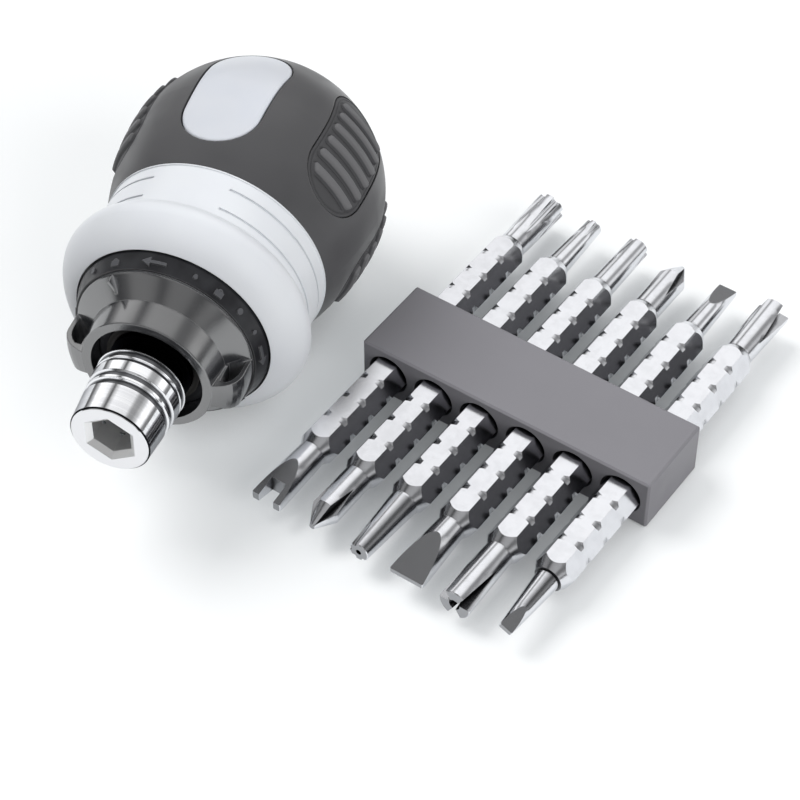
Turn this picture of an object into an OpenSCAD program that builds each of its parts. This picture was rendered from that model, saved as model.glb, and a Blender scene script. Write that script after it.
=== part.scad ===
// Ratcheting screwdriver with a ball handle, beside its rack of six double-ended bits.
// The driver lies on its ball, its axis level along Y with the nose towards -Y.
// Distances called "s" run along the driver's axis from the nose face; radii are about that axis.
// Angles about the axis run from +X towards +Z. The rack stands flat beside the driver.
// The radii follow from the spindle outwards, and the places along the axis from the nose backwards.

/* [Nose and spindle] */
// Distance across the flats of a bit, the quarter-inch standard
bit_af = 6.35; // [6.3:0.01:6.4]
// Clearance of a bit in its socket, across the flats
socket_clear = 0.1; // [0.05:0.01:0.25]
// Depth of the bit socket
socket_depth = 14.0; // [12:0.1:15]
// How much wider the socket's lead-in is across the flats
lead_extra = 1.85; // [1:0.05:2.3]
// Depth of the socket's lead-in
lead_depth = 0.9; // [0.5:0.1:1.5]
// Length of the nose up to its last ring
nose_len = 12.6; // [12.2:0.1:13]
// Distance from the nose's last ring to the selector's front edge
nose_stand = 2.0; // [1.6:0.1:2.4]
// How much smaller the nose's last ring is than the selector's bore
nose_gap = 1.9; // [1.6:0.05:2.1]
// How much the nose narrows to its face
nose_taper = 0.95; // [0.4:0.05:1.2]
// Depth of the nose's turned grooves
groove_depth = 0.55; // [0.3:0.05:0.7]
// Radius of the spindle's neck behind the nose
relief_r = 5.8; // [5.5:0.05:6.2]
// Radius of the spindle in its front bush
shank_r = 6.7; // [6.5:0.05:7.5]
// Radius of the spindle's tail
tail_r = 4.0; // [3.6:0.05:4.5]
// Number of teeth on the spindle
teeth = 24; // [24:24:24]
// How much smaller the radius over the teeth is than the spindle's
tooth_clear = 0.1; // [0.06:0.02:0.2]
// Depth of a tooth
tooth_depth = 0.8; // [0.6:0.05:0.9]
// Length of the toothed part
gear_len = 6.0; // [5:0.1:6.3]

/* [Direction selector] */
// Length of the selector's straight front part
hub_len = 4.9; // [4.5:0.1:5.4]
// Length of the selector's cone behind it
cone_len = 2.6; // [2.3:0.1:3]
// Wall of the selector's front edge
selector_wall = 1.6; // [1.4:0.05:2]
// How much the straight part widens to the rear
hub_flare = 0.5; // [0.2:0.05:0.9]
// Half the angle that a finger lug spans
lug_half_angle = 12; // [9:0.5:15]
// Angle of the right finger lug's middle, which the left one mirrors
lug_angle = -6; // [-12:1:0]
// Wall round a lug's pocket
lug_wall = 0.7; // [0.5:0.05:1]
// Length over which a lug rounds out from the front edge
lug_round = 3.5; // [2.5:0.1:4.5]
// Turn of the selector to each side of its middle place
selector_turn = 25; // [20:1:26]

/* [Ratchet housing] */
// Wall of the housing's neck round the front bush
housing_neck_wall = 1.5; // [1.3:0.05:1.7]
// Length of the housing's neck ahead of its flange
housing_neck_len = 5.0; // [4.8:0.1:5.2]
// Thickness of the housing's front flange
housing_flange_t = 3.5; // [3:0.1:3.8]
// Room for the pawls between the teeth and the chamber's wall
pawl_room = 6.0; // [5.9:0.05:6.5]
// Wall of the pawl chamber
chamber_wall = 2.0; // [1.8:0.05:2.3]
// Thickness of the housing's cover plate
cover_t = 2.2; // [1.8:0.1:2.8]
// Radius of a pawl's pin
pawl_pin_r = 0.9; // [0.8:0.05:1]
// Radial clearance of pieces that turn in each other
run_gap = 0.06; // [0.04:0.01:0.09]
// Gap between pieces that are pressed or moulded together
seat_gap = 0.03; // [0.02:0.01:0.05]

/* [White front collar] */
// Wall of the handle's core round the housing
core_wall = 2.4; // [2.2:0.05:2.7]
// Wall of the collar's neck
neck_wall = 2.5; // [2.3:0.05:2.8]
// Distance from the housing's front to the collar's front edge
collar_depth = 2.5; // [2:0.1:3]
// Distance from the collar's front edge to the middle of the rim
rim_depth = 5.6; // [5:0.1:6.2]
// How much smaller the rim's radius is than the ball's
rim_drop = 1.0; // [0.5:0.1:1.2]
// Radius of the rim's rounding
rim_round_r = 3.2; // [2.8:0.1:3.5]
// Radius of the broad rounding between bore and rim
front_round_r = 8.0; // [7:0.1:10]
// Distance from the middle of the rim to the neck's first line
line_one_depth = 5.0; // [4.4:0.1:6]
// Distance from the first line to the second
line_two_depth = 4.6; // [3:0.1:5.2]
// Distance from the second line to the ball
line_rear = 3.0; // [2:0.1:4]
// Width of the neck's lines
line_w = 0.5; // [0.3:0.05:0.8]
// Depth of the neck's lines
line_depth = 0.3; // [0.2:0.05:0.5]
// Half the angle left bare of lines above and below
line_bare_half_angle = 20; // [10:1:40]

/* [Handle ball] */
// Step from the collar's neck up to the ball's front edge
lip_step = 0.2; // [0.1:0.05:0.6]
// How much the ball swells from its front edge to its largest radius
ball_swell = 3.0; // [2.4:0.1:4]
// Distance from the ball's front edge to its centre
ball_reach = 16.9; // [16:0.1:20]
// Wall of the ball's outer skin
skin_wall = 3.0; // [2.4:0.1:3.2]
// Angle of the upper inlay about the driver's axis, which the other five windows follow
inlay_angle = 96; // [90:1:100]

/* [Inlays and pads] */
// Radius of the inlay's front end
inlay_r = 7.0; // [6:0.1:7.4]
// Radius of the inlay's rear end
inlay_rear_r = 7.3; // [6:0.1:7.5]
// Distance from the ball's front edge to the inlay
inlay_start = 4.5; // [3.5:0.1:6]
// Length of the inlay
inlay_len = 25.8; // [24:0.1:26.5]
// Gap round each inlay and pad in its window
window_gap = 0.15; // [0.1:0.05:0.3]
// Radius of a grip pad's front end
pad_r = 6.9; // [6:0.1:7.2]
// Radius of a grip pad's rear end
pad_rear_r = 6.8; // [6:0.1:7.2]
// Distance from the ball's front edge to a pad
pad_start = 5.0; // [4.4:0.1:6]
// Length of a pad
pad_len = 25.6; // [24:0.1:26]
// How far a pad's ground lies below the ball's surface
pad_sink = 0.5; // [0.3:0.05:0.8]
// Radius of a pad's cross rib
rib_r = 0.95; // [0.7:0.05:1.1]
// Distance from a pad's front edge to its first cross rib
rib_front = 4.0; // [3:0.1:4.5]
// Distance from a pad's last cross rib to its rear edge
rib_rear = 5.5; // [4.5:0.1:6.5]
// Number of cross ribs on a pad
rib_count = 6; // [4:1:6]
// Half the angle that a cross rib spans
rib_half_angle = 14; // [10:0.5:14.5]

/* [Bit rack] */
// Clearance round a bit's corners in its hole
hole_clear = 0.134; // [0.1:0.01:0.25]
// Web between two holes
hole_web = 1.59; // [1.3:0.05:2]
// Distance from the last bit's axis to the rack's end
rack_end = 5.225; // [5:0.05:7]
// Skin above and below the holes
rack_skin = 1.35; // [1:0.05:2.5]
// Depth of the rack along the bits
rack_d = 16.0; // [12:0.1:20]
// Chamfer of the rack's edges
rack_chamfer = 0.35; // [0.2:0.05:0.8]
// Distance from the nose's axis to the rack's front left corner
rack_x = 25.75; // [25:0.05:40]
// Distance from the nose face back to the rack's front left corner
rack_y = 44.5; // [40:0.1:60]
// Angle between the bits and the driver's axis
rack_turn = 15.5; // [10:0.1:20]

/* [Bits] */
// Half the length of a bit's full hexagon
hex_half = 27.5; // [26:0.1:30]
// Length of the cone between the hexagon and a shaft
hex_cone = 2.2; // [1.8:0.1:2.6]
// Length of a shaft and its tip
tip_len = 12.7; // [12.2:0.1:14]
// Distance from the hexagon's end to its outermost notch
notch_end = 4.2; // [3:0.1:5]
// Distance from one notch to the next
notch_pitch = 5.2; // [3.5:0.1:5.4]
// Width of a notch at its floor
notch_w = 0.9; // [0.6:0.05:1.2]
// Depth of a notch below the hexagon's corners
notch_depth = 0.35; // [0.2:0.01:0.42]
// How far the bits stand out behind the rack's middle
bit_shift = 0.1; // [0:0.1:0.5]

/* [Bit tips] */
// Radius of a thick shaft at its hexagon
shaft_r = 2.5; // [2.3:0.05:2.6]
// Radius over a fork's prongs
fork_r = 2.85; // [2.6:0.05:3]
// Width of a fork's slot
fork_slot_w = 2.9; // [2:0.1:3.4]
// Depth of a fork's slot
fork_slot_depth = 3.7; // [2:0.1:5]
// Half the thickness of a thick blade at its end
thick_blade_half = 0.75; // [0.5:0.05:1]
// Length of the conical point of a cross tip
cross_point_len = 3.6; // [3:0.1:4.5]
// Radius of a cross tip's blunt end
cross_end_r = 0.5; // [0.3:0.05:0.8]
// Half the width of the wide slotted blade
wide_blade_r = 3.15; // [2.8:0.05:3.2]
// Half the thickness of a thin blade at its end
thin_blade_half = 0.42; // [0.3:0.01:0.6]
// Radius of the slim slotted shaft at its hexagon
slim_shaft_r = 2.1; // [1.8:0.05:2.4]
// Half the width of the slim front blade
slim_blade_r = 1.25; // [1:0.05:1.6]
// Half the width of the small rear blade
small_blade_r = 1.75; // [1.5:0.05:2]
// Radius over the lobes of the large star
star_large_r = 2.8; // [2.5:0.05:3]
// Radius over the lobes of the medium star
star_medium_r = 2.1; // [1.9:0.05:2.4]
// Radius over the lobes of the small star
star_small_r = 1.6; // [1.4:0.05:1.8]
// Radius over the lobes of the security star
star_security_r = 1.8; // [1.6:0.05:2]
// Radius of the hole in the security star
security_hole_r = 0.5; // [0.3:0.05:0.6]
// Radius of the hollow among three prongs
prong_hollow_r = 1.0; // [0.8:0.05:1.3]

/* [Hidden] */
// How far a cut runs past what it cuts
overrun = 1;
// Fineness of the curves
$fn = 64;
// Step of a chamfered edge on a small turned piece
edge = 0.3;
// Angles of the six windows: two inlays and four pads
window_step = 60;
pad_angles = [inlay_angle - window_step, inlay_angle - 2 * window_step,
              inlay_angle - 4 * window_step, inlay_angle - 5 * window_step];
// Corner radius of a hexagon from the distance across its flats
function corner(af) = af / sqrt(3);
// Radii, from the spindle outwards
socket_af = bit_af + socket_clear;
lead_af = socket_af + lead_extra;
bush_wall = 1.3;
front_bush_r = shank_r + run_gap + bush_wall;
rear_bush_wall = 1.9;
rear_bush_r = tail_r + run_gap + rear_bush_wall;
neck_outer_r = front_bush_r + seat_gap + housing_neck_wall;
selector_bore_r = neck_outer_r + run_gap;
nose_rear_r = selector_bore_r - nose_gap;
nose_r = nose_rear_r - nose_taper;
tooth_tip_r = shank_r - tooth_clear;
chamber_r = tooth_tip_r + pawl_room;
housing_r = chamber_r + chamber_wall;
collar_bore_r = housing_r + core_wall;
neck_r = collar_bore_r + neck_wall;
lip_r = neck_r + lip_step;
ball_r = lip_r + ball_swell;
axis_h = ball_r;
ring_wall = 1.6;
ring_gap = 0.1;
housing_flange_r = collar_bore_r - ring_wall - seat_gap;
selector_r = collar_bore_r - ring_wall - ring_gap;
selector_front_r = selector_bore_r + selector_wall;
selector_step_r = selector_front_r + hub_flare;
// Places along the axis, from the nose backwards
end_gap = 0.05;
washer_t = 0.65;
selector_front_s = nose_len + nose_stand;
selector_step_s = selector_front_s + hub_len;
selector_edge_s = selector_step_s + cone_len;
flange_depth = 0.9;
flange_s = selector_edge_s + flange_depth;
selector_gap = 0.3;
selector_rear_s = flange_s - selector_gap;
housing_neck_s = flange_s - housing_neck_len;
shoulder_s = housing_neck_s - washer_t - 2 * end_gap;
chamber_s = flange_s + housing_flange_t;
gear_gap = 1.4;
gear_s = chamber_s + gear_gap;
cover_gap = 0.7;
cover_s = gear_s + gear_len + cover_gap;
cover_rear_s = cover_s + cover_t;
tail_over = 3.4;
tail_end_s = cover_rear_s + tail_over;
core_front_s = chamber_s + seat_gap;
collar_front_s = flange_s + collar_depth;
rim_s = collar_front_s + rim_depth;
line_one_s = rim_s + line_one_depth;
line_two_s = line_one_s + line_two_depth;
lip_s = line_two_s + line_rear;
ball_s = lip_s + ball_reach;
inlay_front_s = lip_s + inlay_start;
inlay_rear_s = inlay_front_s + inlay_len;
pad_front_s = lip_s + pad_start;
pad_rear_s = pad_front_s + pad_len;
rib_first_s = pad_front_s + rib_front;
rib_pitch = (pad_len - rib_front - rib_rear) / (rib_count - 1);
// The ball's front half is one arc from the lip to the largest radius
front_arc_r = (pow(ball_reach, 2) + pow(ball_swell, 2)) / (2 * ball_swell);
// The rack's sizes follow from the bits
rack_hole_r = corner(bit_af) + hole_clear;
bit_pitch = 2 * rack_hole_r + hole_web;
rack_w = 5 * bit_pitch + 2 * rack_end;
rack_h = 2 * (rack_hole_r + rack_skin);
notch_floor_r = corner(bit_af) - notch_depth;
// The pawls' places in the plane across the axis, for the left pawl; the right one mirrors it
pawl_engage_angle = 112.5;
pawl_pivot_angle = 146;
pawl_seat = 2.0;
pawl_pivot_r = chamber_r - pawl_seat;
pawl_hub_r = 1.75;
pawl_root_inset = 0.12;
pawl_root_r = pawl_hub_r - pawl_root_inset;
pawl_relief = 0.3;
pawl_head = 1.9;
pawl_shoulder = 0.8;
pawl_tip_share = 0.8;
finger_t = 1.1;
finger_gap = 0.25;
finger_r = chamber_r - finger_gap;
finger_half_angle = 6;
slot_gap = 0.18;
slot_over = 2;
finger_angle = 193;
click_angle = 90;
click_r = (finger_r + housing_flange_r) / 2;

// Point at a radius and an angle
function pol(r, a) = [r * cos(a), r * sin(a)];
// The ball's radius at a distance along the axis
function ball_at(s) = s < ball_s
    ? ball_r - front_arc_r + sqrt(pow(front_arc_r, 2) - pow(s - ball_s, 2))
    : sqrt(pow(ball_r, 2) - pow(s - ball_s, 2));

// The part's box in the plane of the surface, from the nose face, which puts the origin at its middle
function bit_at(i, along, across) = [
    rack_x + cos(rack_turn) * (rack_end + i * bit_pitch + across) + sin(rack_turn) * (rack_d / 2 + bit_shift + along),
    rack_y - sin(rack_turn) * (rack_end + i * bit_pitch + across) + cos(rack_turn) * (rack_d / 2 + bit_shift + along)];
bit_half = hex_half + hex_cone + tip_len;
x_low = (ball_r + rib_r - pad_sink / 2) * cos(pad_angles[3] + rib_half_angle);
x_high = bit_at(5, bit_half, star_large_r)[0];
y_low = min(0, bit_at(5, -bit_half, slim_blade_r)[1]);
y_high = bit_at(0, bit_half, -star_large_r)[1];
nose_x = -(x_low + x_high) / 2;
nose_y = -(y_low + y_high) / 2;

// Places a piece drawn along +Z on the driver's axis
module on_axis() translate([nose_x, nose_y, axis_h]) rotate([-90, 0, 0]) children();
// Turns a piece drawn at angle 0 to an angle about the driver's axis
module at_angle(a) rotate([0, 0, -a]) children();
// A prism that stands out from the axis at an angle; its outline is drawn across and along the axis
module radial_prism(a, from_r, to_r)
    at_angle(a) rotate([90, 0, 90]) translate([0, 0, from_r]) linear_extrude(to_r - from_r) children();
// A turned ring between two radii and two places
module ring(r_in, r_out, s_from, s_to)
    rotate_extrude() translate([r_in, s_from]) square([r_out - r_in, s_to - s_from]);
// A ring that spans only part of the turn, drawn as a half outline
module sector(from_a, to_a) at_angle(to_a) rotate_extrude(angle = to_a - from_a) children();
// Rounded window outline with two end radii, drawn as one outline
window_steps = 16;
module window(r_front, r_rear, s_front, s_rear, inset) {
    c_front = s_front + r_front;
    c_rear = s_rear - r_rear;
    slant = asin((r_front - r_rear) / (c_rear - c_front));
    polygon(concat(
        [for (k = [0 : window_steps]) [0, c_front] + pol(r_front - inset, 180 - slant + (180 + 2 * slant) * k / window_steps)],
        [for (k = [0 : window_steps]) [0, c_rear] + pol(r_rear - inset, slant + (180 - 2 * slant) * k / window_steps)]));
}
module inlay_window(inset) window(inlay_r, inlay_rear_r, inlay_front_s, inlay_rear_s, inset);
module pad_window(inset) window(pad_r, pad_rear_r, pad_front_s, pad_rear_s, inset);

// The ball's solid, drawn in from its surface by a depth
module ball_solid(depth) rotate_extrude() {
    intersection() {
        translate([0, ball_s]) circle(ball_r - depth, $fn = 128);
        translate([0, ball_s]) square([ball_r, ball_r]);
    }
    intersection() {
        translate([ball_r - front_arc_r, ball_s]) circle(front_arc_r - depth, $fn = 256);
        translate([0, lip_s]) square([ball_r, ball_s - lip_s]);
    }
}

module handle_shell() color("#4c4c4f") on_axis() difference() {
    ball_solid(0);
    ball_solid(skin_wall);
    for (a = [inlay_angle, inlay_angle + 180]) radial_prism(a, ball_r / 2, ball_r + overrun) inlay_window(0);
    for (a = pad_angles) radial_prism(a, ball_r / 2, ball_r + overrun) pad_window(0);
}

module handle_core() color("#5a5a5e") on_axis() difference() {
    union() {
        ball_solid(skin_wall + seat_gap);
        ring(0, collar_bore_r - seat_gap, core_front_s, lip_s - seat_gap);
        ring(0, lip_r - skin_wall - edge, lip_s - overrun, lip_s + overrun);
    }
    ring(0, housing_r + seat_gap, core_front_s - overrun, cover_rear_s + seat_gap);
    ring(0, housing_r / 2 + seat_gap, core_front_s - overrun, tail_end_s + overrun);
}

module inlay(a) intersection() {
    difference() {
        ball_solid(0);
        ball_solid(skin_wall);
    }
    radial_prism(a, ball_r / 2, ball_r + overrun) inlay_window(window_gap);
}
module inlay_top() color("#e8ebee") on_axis() inlay(inlay_angle);
module inlay_bottom() color("#e8ebee") on_axis() inlay(inlay_angle + 180);

// Cross ribs are parts of rings, trimmed where the pad's outline closes in
module ribs(a) intersection() {
    for (i = [0 : rib_count - 1]) sector(a - rib_half_angle, a + rib_half_angle)
        translate([ball_at(rib_first_s + i * rib_pitch) - pad_sink / 2, rib_first_s + i * rib_pitch]) circle(rib_r, $fn = 24);
    radial_prism(a, ball_r / 2, ball_r + 2 * overrun) pad_window(rib_margin);
}
rib_margin = 1.2;
module grip_pad(a) color("#3b3b3d") on_axis() {
    intersection() {
        difference() {
            ball_solid(pad_sink);
            ball_solid(skin_wall);
        }
        radial_prism(a, ball_r / 2, ball_r + overrun) pad_window(window_gap);
    }
    ribs(a);
}
module grip_pad_upper_right() grip_pad(pad_angles[0]);
module grip_pad_lower_right() grip_pad(pad_angles[1]);
module grip_pad_lower_left() grip_pad(pad_angles[2]);
module grip_pad_upper_left() grip_pad(pad_angles[3]);

// The rim's circle touches the broad front rounding, whose centre follows from the bore's front edge
rim_r = ball_r - rim_drop - rim_round_r;
rim_to_bore = norm([rim_r - collar_bore_r, rim_s - collar_front_s]);
rim_to_centre = front_round_r - rim_round_r;
centre_turn = acos((pow(rim_to_centre, 2) + pow(rim_to_bore, 2) - pow(front_round_r, 2)) / (2 * rim_to_centre * rim_to_bore));
centre_angle = atan2(collar_front_s - rim_s, collar_bore_r - rim_r) - centre_turn;
front_centre = [rim_r, rim_s] + rim_to_centre * [cos(centre_angle), sin(centre_angle)];
module front_collar() color("#e4e7ea") on_axis() difference() {
    rotate_extrude() difference() {
        union() {
            translate([rim_r, rim_s]) circle(rim_round_r);
            intersection() {
                translate(front_centre) circle(front_round_r, $fn = 128);
                polygon([front_centre,
                         front_centre + 2 * ([collar_bore_r, collar_front_s] - front_centre),
                         front_centre + 2 * front_round_r * ([rim_r, rim_s] - front_centre) / rim_to_centre]);
            }
            polygon([[collar_bore_r, collar_front_s], [rim_r, rim_s], [neck_r, rim_s], [neck_r, lip_s - line_depth],
                     [lip_r, lip_s - line_depth], [lip_r, lip_s - seat_gap], [collar_bore_r, lip_s - seat_gap]]);
        }
        translate([0, 0]) square([collar_bore_r, lip_s]);
    }
    for (s = [line_one_s, line_two_s], a = [inlay_angle, inlay_angle + 180])
        sector(a - 180 + line_bare_half_angle, a - line_bare_half_angle)
            translate([neck_r - line_depth, s - line_w / 2]) square([line_depth + overrun, line_w]);
}

// The dark ring between the selector and the white collar, with raised marks
ring_in_r = housing_flange_r + seat_gap;
ring_cone_gap = 0.35;
ring_cone_r = collar_bore_r - ring_cone_gap;
ring_step = 0.3;
ring_front_s = selector_edge_s + ring_step;
ring_cone_s = collar_front_s - ring_cone_gap;
mark_h = 0.2;
module ring_outline(lift) polygon([
    [ring_in_r, ring_front_s - lift], [ring_in_r + ring_step + lift, ring_front_s - lift],
    [ring_cone_r + lift, ring_cone_s - lift], [ring_cone_r + lift, chamber_s], [ring_in_r, chamber_s]]);
mark_s = (ring_front_s + ring_cone_s) / 2;
mark_w = 1.5;
bar_w = 0.45;
arrow_len = 4.2;
arrow_angles = [4, 95];
lock_angles = [54, 120];
dot_angles = [38, 139];
point_angles = [22, 70];
module arrow_mark(turn) rotate(turn) {
    translate([-arrow_len / 2, -bar_w / 2]) square([arrow_len - mark_w, bar_w]);
    translate([-arrow_len / 2, 0]) polygon([[arrow_len - mark_w, mark_w / 2], [arrow_len, 0], [arrow_len - mark_w, -mark_w / 2]]);
}
module lock_mark() {
    translate([-mark_w / 2, -mark_w / 2]) square([mark_w, mark_w * 0.6]);
    difference() {
        circle(mark_w / 3);
        circle(mark_w / 3 - bar_w / 2);
    }
}
module ring_mark(a) radial_prism(a, ring_in_r / 2, collar_bore_r + overrun) translate([0, mark_s]) children();
module indicator_ring() color("#3c3d40") on_axis() {
    rotate_extrude() ring_outline(0);
    intersection() {
        difference() {
            rotate_extrude() ring_outline(mark_h);
            ring(0, ring_in_r + ring_step, ring_front_s - overrun, chamber_s);
        }
        union() {
            for (a = [0, 180]) {
                ring_mark(a + arrow_angles[0]) arrow_mark(0);
                ring_mark(a + arrow_angles[1]) arrow_mark(180);
                for (lock_angle = lock_angles) ring_mark(a + lock_angle) lock_mark();
                for (dot_angle = dot_angles) ring_mark(a + dot_angle) circle(mark_w / 3);
                for (point_angle = point_angles) ring_mark(a + point_angle) circle(mark_w / 4);
            }
        }
    }
}

// Outline of a finger lug across its angle, drawn in by a wall, and the pocket that opens upwards
lug_turns = [20 : 14 : 90];
function lug_point(t, wall) = [selector_front_r + (selector_r - wall - selector_front_r) * sin(t),
                               selector_front_s + edge + wall + lug_round * (1 - cos(t))];
module lug_outline() polygon(concat(
    [[selector_bore_r + lug_wall, selector_edge_s + edge], [selector_bore_r + lug_wall, selector_front_s + edge],
     [selector_front_r, selector_front_s + edge / 3]],
    [for (t = lug_turns) lug_point(t, 0)], [[selector_r, selector_edge_s + edge]]));
module pocket_outline() polygon(concat(
    [[selector_step_r + edge, selector_step_s + lug_wall], [selector_step_r + edge, selector_front_s + edge + 2 * lug_wall]],
    [for (t = lug_turns) if (t > 30) lug_point(t, lug_wall)], [[selector_r - lug_wall, selector_edge_s - lug_wall]]));
// Depth and place of the hidden groove pair that the selector's ring snaps into
snap_wire_r = 0.42;
snap_s = selector_step_s + snap_wire_r;
click_nose_r = 0.85;
click_sink = 0.45;
module selector_collar() color("#4a4b4e") on_axis() difference() {
    union() {
        rotate_extrude() polygon([
            [selector_bore_r, selector_front_s], [selector_front_r - edge / 2, selector_front_s],
            [selector_front_r, selector_front_s + edge / 2], [selector_step_r, selector_step_s],
            [selector_r - edge / 2, selector_edge_s - edge / 2], [selector_r, selector_edge_s],
            [selector_r, selector_rear_s], [selector_bore_r, selector_rear_s]]);
        for (m = [0, 1]) mirror([m, 0, 0]) sector(lug_angle - lug_half_angle, lug_angle + lug_half_angle) lug_outline();
        // Pointer on the cone
        radial_prism(122, selector_step_r, selector_r) polygon([
            [-edge, selector_step_s + lug_wall], [edge, selector_step_s + lug_wall], [0, selector_edge_s]]);
    }
    for (m = [0, 1]) mirror([m, 0, 0])
        sector(lug_angle - lug_half_angle + lug_wall_angle, lug_angle + lug_half_angle + lug_wall_angle) pocket_outline();
    // Inner groove of the snap ring
    rotate_extrude() translate([selector_bore_r, snap_s]) circle(snap_wire_r + run_gap);
    // Seat of the cam sleeve
    ring(0, cam_r + seat_gap, cam_s, selector_rear_s + overrun);
    // Dimples of the click spring
    for (t = [-selector_turn, 0, selector_turn])
        at_angle(click_angle + t) translate([click_r, 0, selector_rear_s + click_nose_r - click_sink])
            sphere(click_nose_r + run_gap, $fn = 24);
}
lug_wall_angle = lug_wall / selector_r * 180 / PI;
cam_rim = 0.15;
cam_r = finger_r + cam_rim;
cam_t = 1.4;
cam_s = selector_rear_s - cam_t;

module selector_cam() color("#8a7a4a") on_axis() {
    ring(selector_bore_r + run_gap, cam_r, cam_s + seat_gap, selector_rear_s);
    for (a = [finger_angle, 180 - finger_angle])
        sector(a - finger_half_angle, a + finger_half_angle)
            translate([finger_r - finger_t, selector_rear_s - cam_t / 2]) square([finger_t, gear_s + gear_len - selector_rear_s + cam_t / 2]);
}

// Outline of the left pawl in the plane across the axis
pawl_relief_r = tooth_tip_r + pawl_relief;
pawl_pivot = pol(pawl_pivot_r, pawl_pivot_angle);
pawl_tip_r = tooth_tip_r - pawl_tip_share * tooth_depth;
module pawl_outline() difference() {
    union() {
        polygon(concat(
            [pol(tooth_tip_r + pawl_head, pawl_engage_angle - 7), pol(pawl_pivot_r - pawl_shoulder, pawl_engage_angle + 12),
             pawl_pivot + pol(pawl_root_r, 100), pawl_pivot + pol(pawl_root_r, 250)],
            [for (a = [25 : -3 : 7]) pol(pawl_relief_r, pawl_engage_angle + a)],
            [pol(pawl_relief_r, pawl_engage_angle + 3.5), pol(pawl_tip_r, pawl_engage_angle + 1.2),
             pol(pawl_tip_r, pawl_engage_angle - 1.2), pol(pawl_relief_r, pawl_engage_angle - 3.5),
             pol(pawl_relief_r, pawl_engage_angle - 7)]));
        translate(pawl_pivot) circle(pawl_hub_r);
        // Tail under the selector's finger
        polygon([pawl_pivot + pol(pawl_root_r, 175), pol(finger_r - finger_t - edge, 164),
                 pol(finger_r - finger_t - edge, 170), pawl_pivot + pol(pawl_root_r, 265)]);
    }
    translate(pawl_pivot) circle(pawl_pin_r + run_gap);
}
// Draws a plane figure across the axis between two places, seen in world angles
module across(s_from, s_to) translate([0, 0, s_from]) linear_extrude(s_to - s_from) mirror([0, 1]) children();
pawl_s = gear_s + end_gap;
pawl_end_s = gear_s + gear_len - end_gap;
module pawl_left() color("#b9a45a") on_axis() across(pawl_s, pawl_end_s) pawl_outline();
module pawl_right() color("#b9a45a") on_axis() across(pawl_s, pawl_end_s) mirror([1, 0]) pawl_outline();
pin_seat = 1.6;
pin_s = chamber_s - pin_seat;
pin_end_s = cover_s + pin_seat;
module pin_hole(gap) across(pin_s - end_gap, pin_end_s + end_gap) for (m = [0, 1])
    mirror([m, 0]) translate(pawl_pivot) circle(pawl_pin_r + gap);
module pawl_pin_left() color("silver") on_axis() across(pin_s, pin_end_s) translate(pawl_pivot) circle(pawl_pin_r);
module pawl_pin_right() color("silver") on_axis() across(pin_s, pin_end_s) mirror([1, 0]) translate(pawl_pivot) circle(pawl_pin_r);

// A pawl's spring stands between the pawl's back and a blind hole in the chamber wall
spring_r = 0.9;
spring_angle = pawl_engage_angle;
spring_lift = 0.85;
spring_from_r = tooth_tip_r + pawl_head + spring_lift;
spring_to_r = chamber_r + (housing_r - chamber_r) / 2;
spring_s = (pawl_s + pawl_end_s) / 2;
module spring_post(a, r, from_r, to_r) radial_prism(a, from_r, to_r) translate([0, spring_s]) circle(r);
module pawl_spring_left() color("silver") on_axis() spring_post(spring_angle, spring_r, spring_from_r, spring_to_r);
module pawl_spring_right() color("silver") on_axis() spring_post(180 - spring_angle, spring_r, spring_from_r, spring_to_r);

module ratchet_housing() color("#77797d") on_axis() difference() {
    rotate_extrude() polygon([
        [front_bush_r + seat_gap, housing_neck_s], [neck_outer_r, housing_neck_s], [neck_outer_r, flange_s],
        [housing_flange_r, flange_s], [housing_flange_r, chamber_s], [housing_r, chamber_s],
        [housing_r, cover_rear_s], [chamber_r, cover_rear_s], [chamber_r, chamber_s], [front_bush_r + seat_gap, chamber_s]]);
    // Outer groove of the snap ring
    rotate_extrude() translate([neck_outer_r + run_gap, snap_s]) circle(snap_wire_r + run_gap);
    // Arc slots of the cam's fingers
    for (a = [finger_angle, 180 - finger_angle])
        sector(a - finger_half_angle - selector_turn - slot_over, a + finger_half_angle + selector_turn + slot_over)
            translate([finger_r - finger_t - slot_gap, flange_s - overrun])
                square([finger_t + 2 * slot_gap, housing_flange_t + 2 * overrun]);
    pin_hole(seat_gap);
    for (a = [spring_angle, 180 - spring_angle])
        spring_post(a, spring_r + seat_gap, chamber_r - overrun, spring_to_r + end_gap);
    // Pocket of the click spring
    click_pocket(seat_gap);
}
click_w = 1.9;
click_len = 5.6;
click_t = 0.4;
click_pocket_t = 1.4;
module click_pocket(gap) radial_prism(click_angle, click_r - click_w / 2 - gap, click_r + click_w / 2 + gap)
    translate([-click_len / 2 - gap, flange_s - overrun]) square([click_len + 2 * gap, click_pocket_t + overrun + gap]);
// Bowed leaf with a round nose in the selector's middle dimple
module detent_spring() color("#c8c8c8") on_axis() {
    radial_prism(click_angle, click_r - click_w / 2, click_r + click_w / 2) {
        for (m = [0, 1]) mirror([m, 0]) polygon([
            [0, flange_s + edge], [0, flange_s + edge + click_t],
            [click_len / 2 - click_t, flange_s + click_pocket_t], [click_len / 2, flange_s + click_pocket_t],
            [click_len / 2, flange_s + click_pocket_t - click_t], [click_t, flange_s + edge]]);
    }
    at_angle(click_angle) translate([click_r, 0, selector_rear_s + click_nose_r - click_sink]) sphere(click_nose_r, $fn = 24);
}

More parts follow.
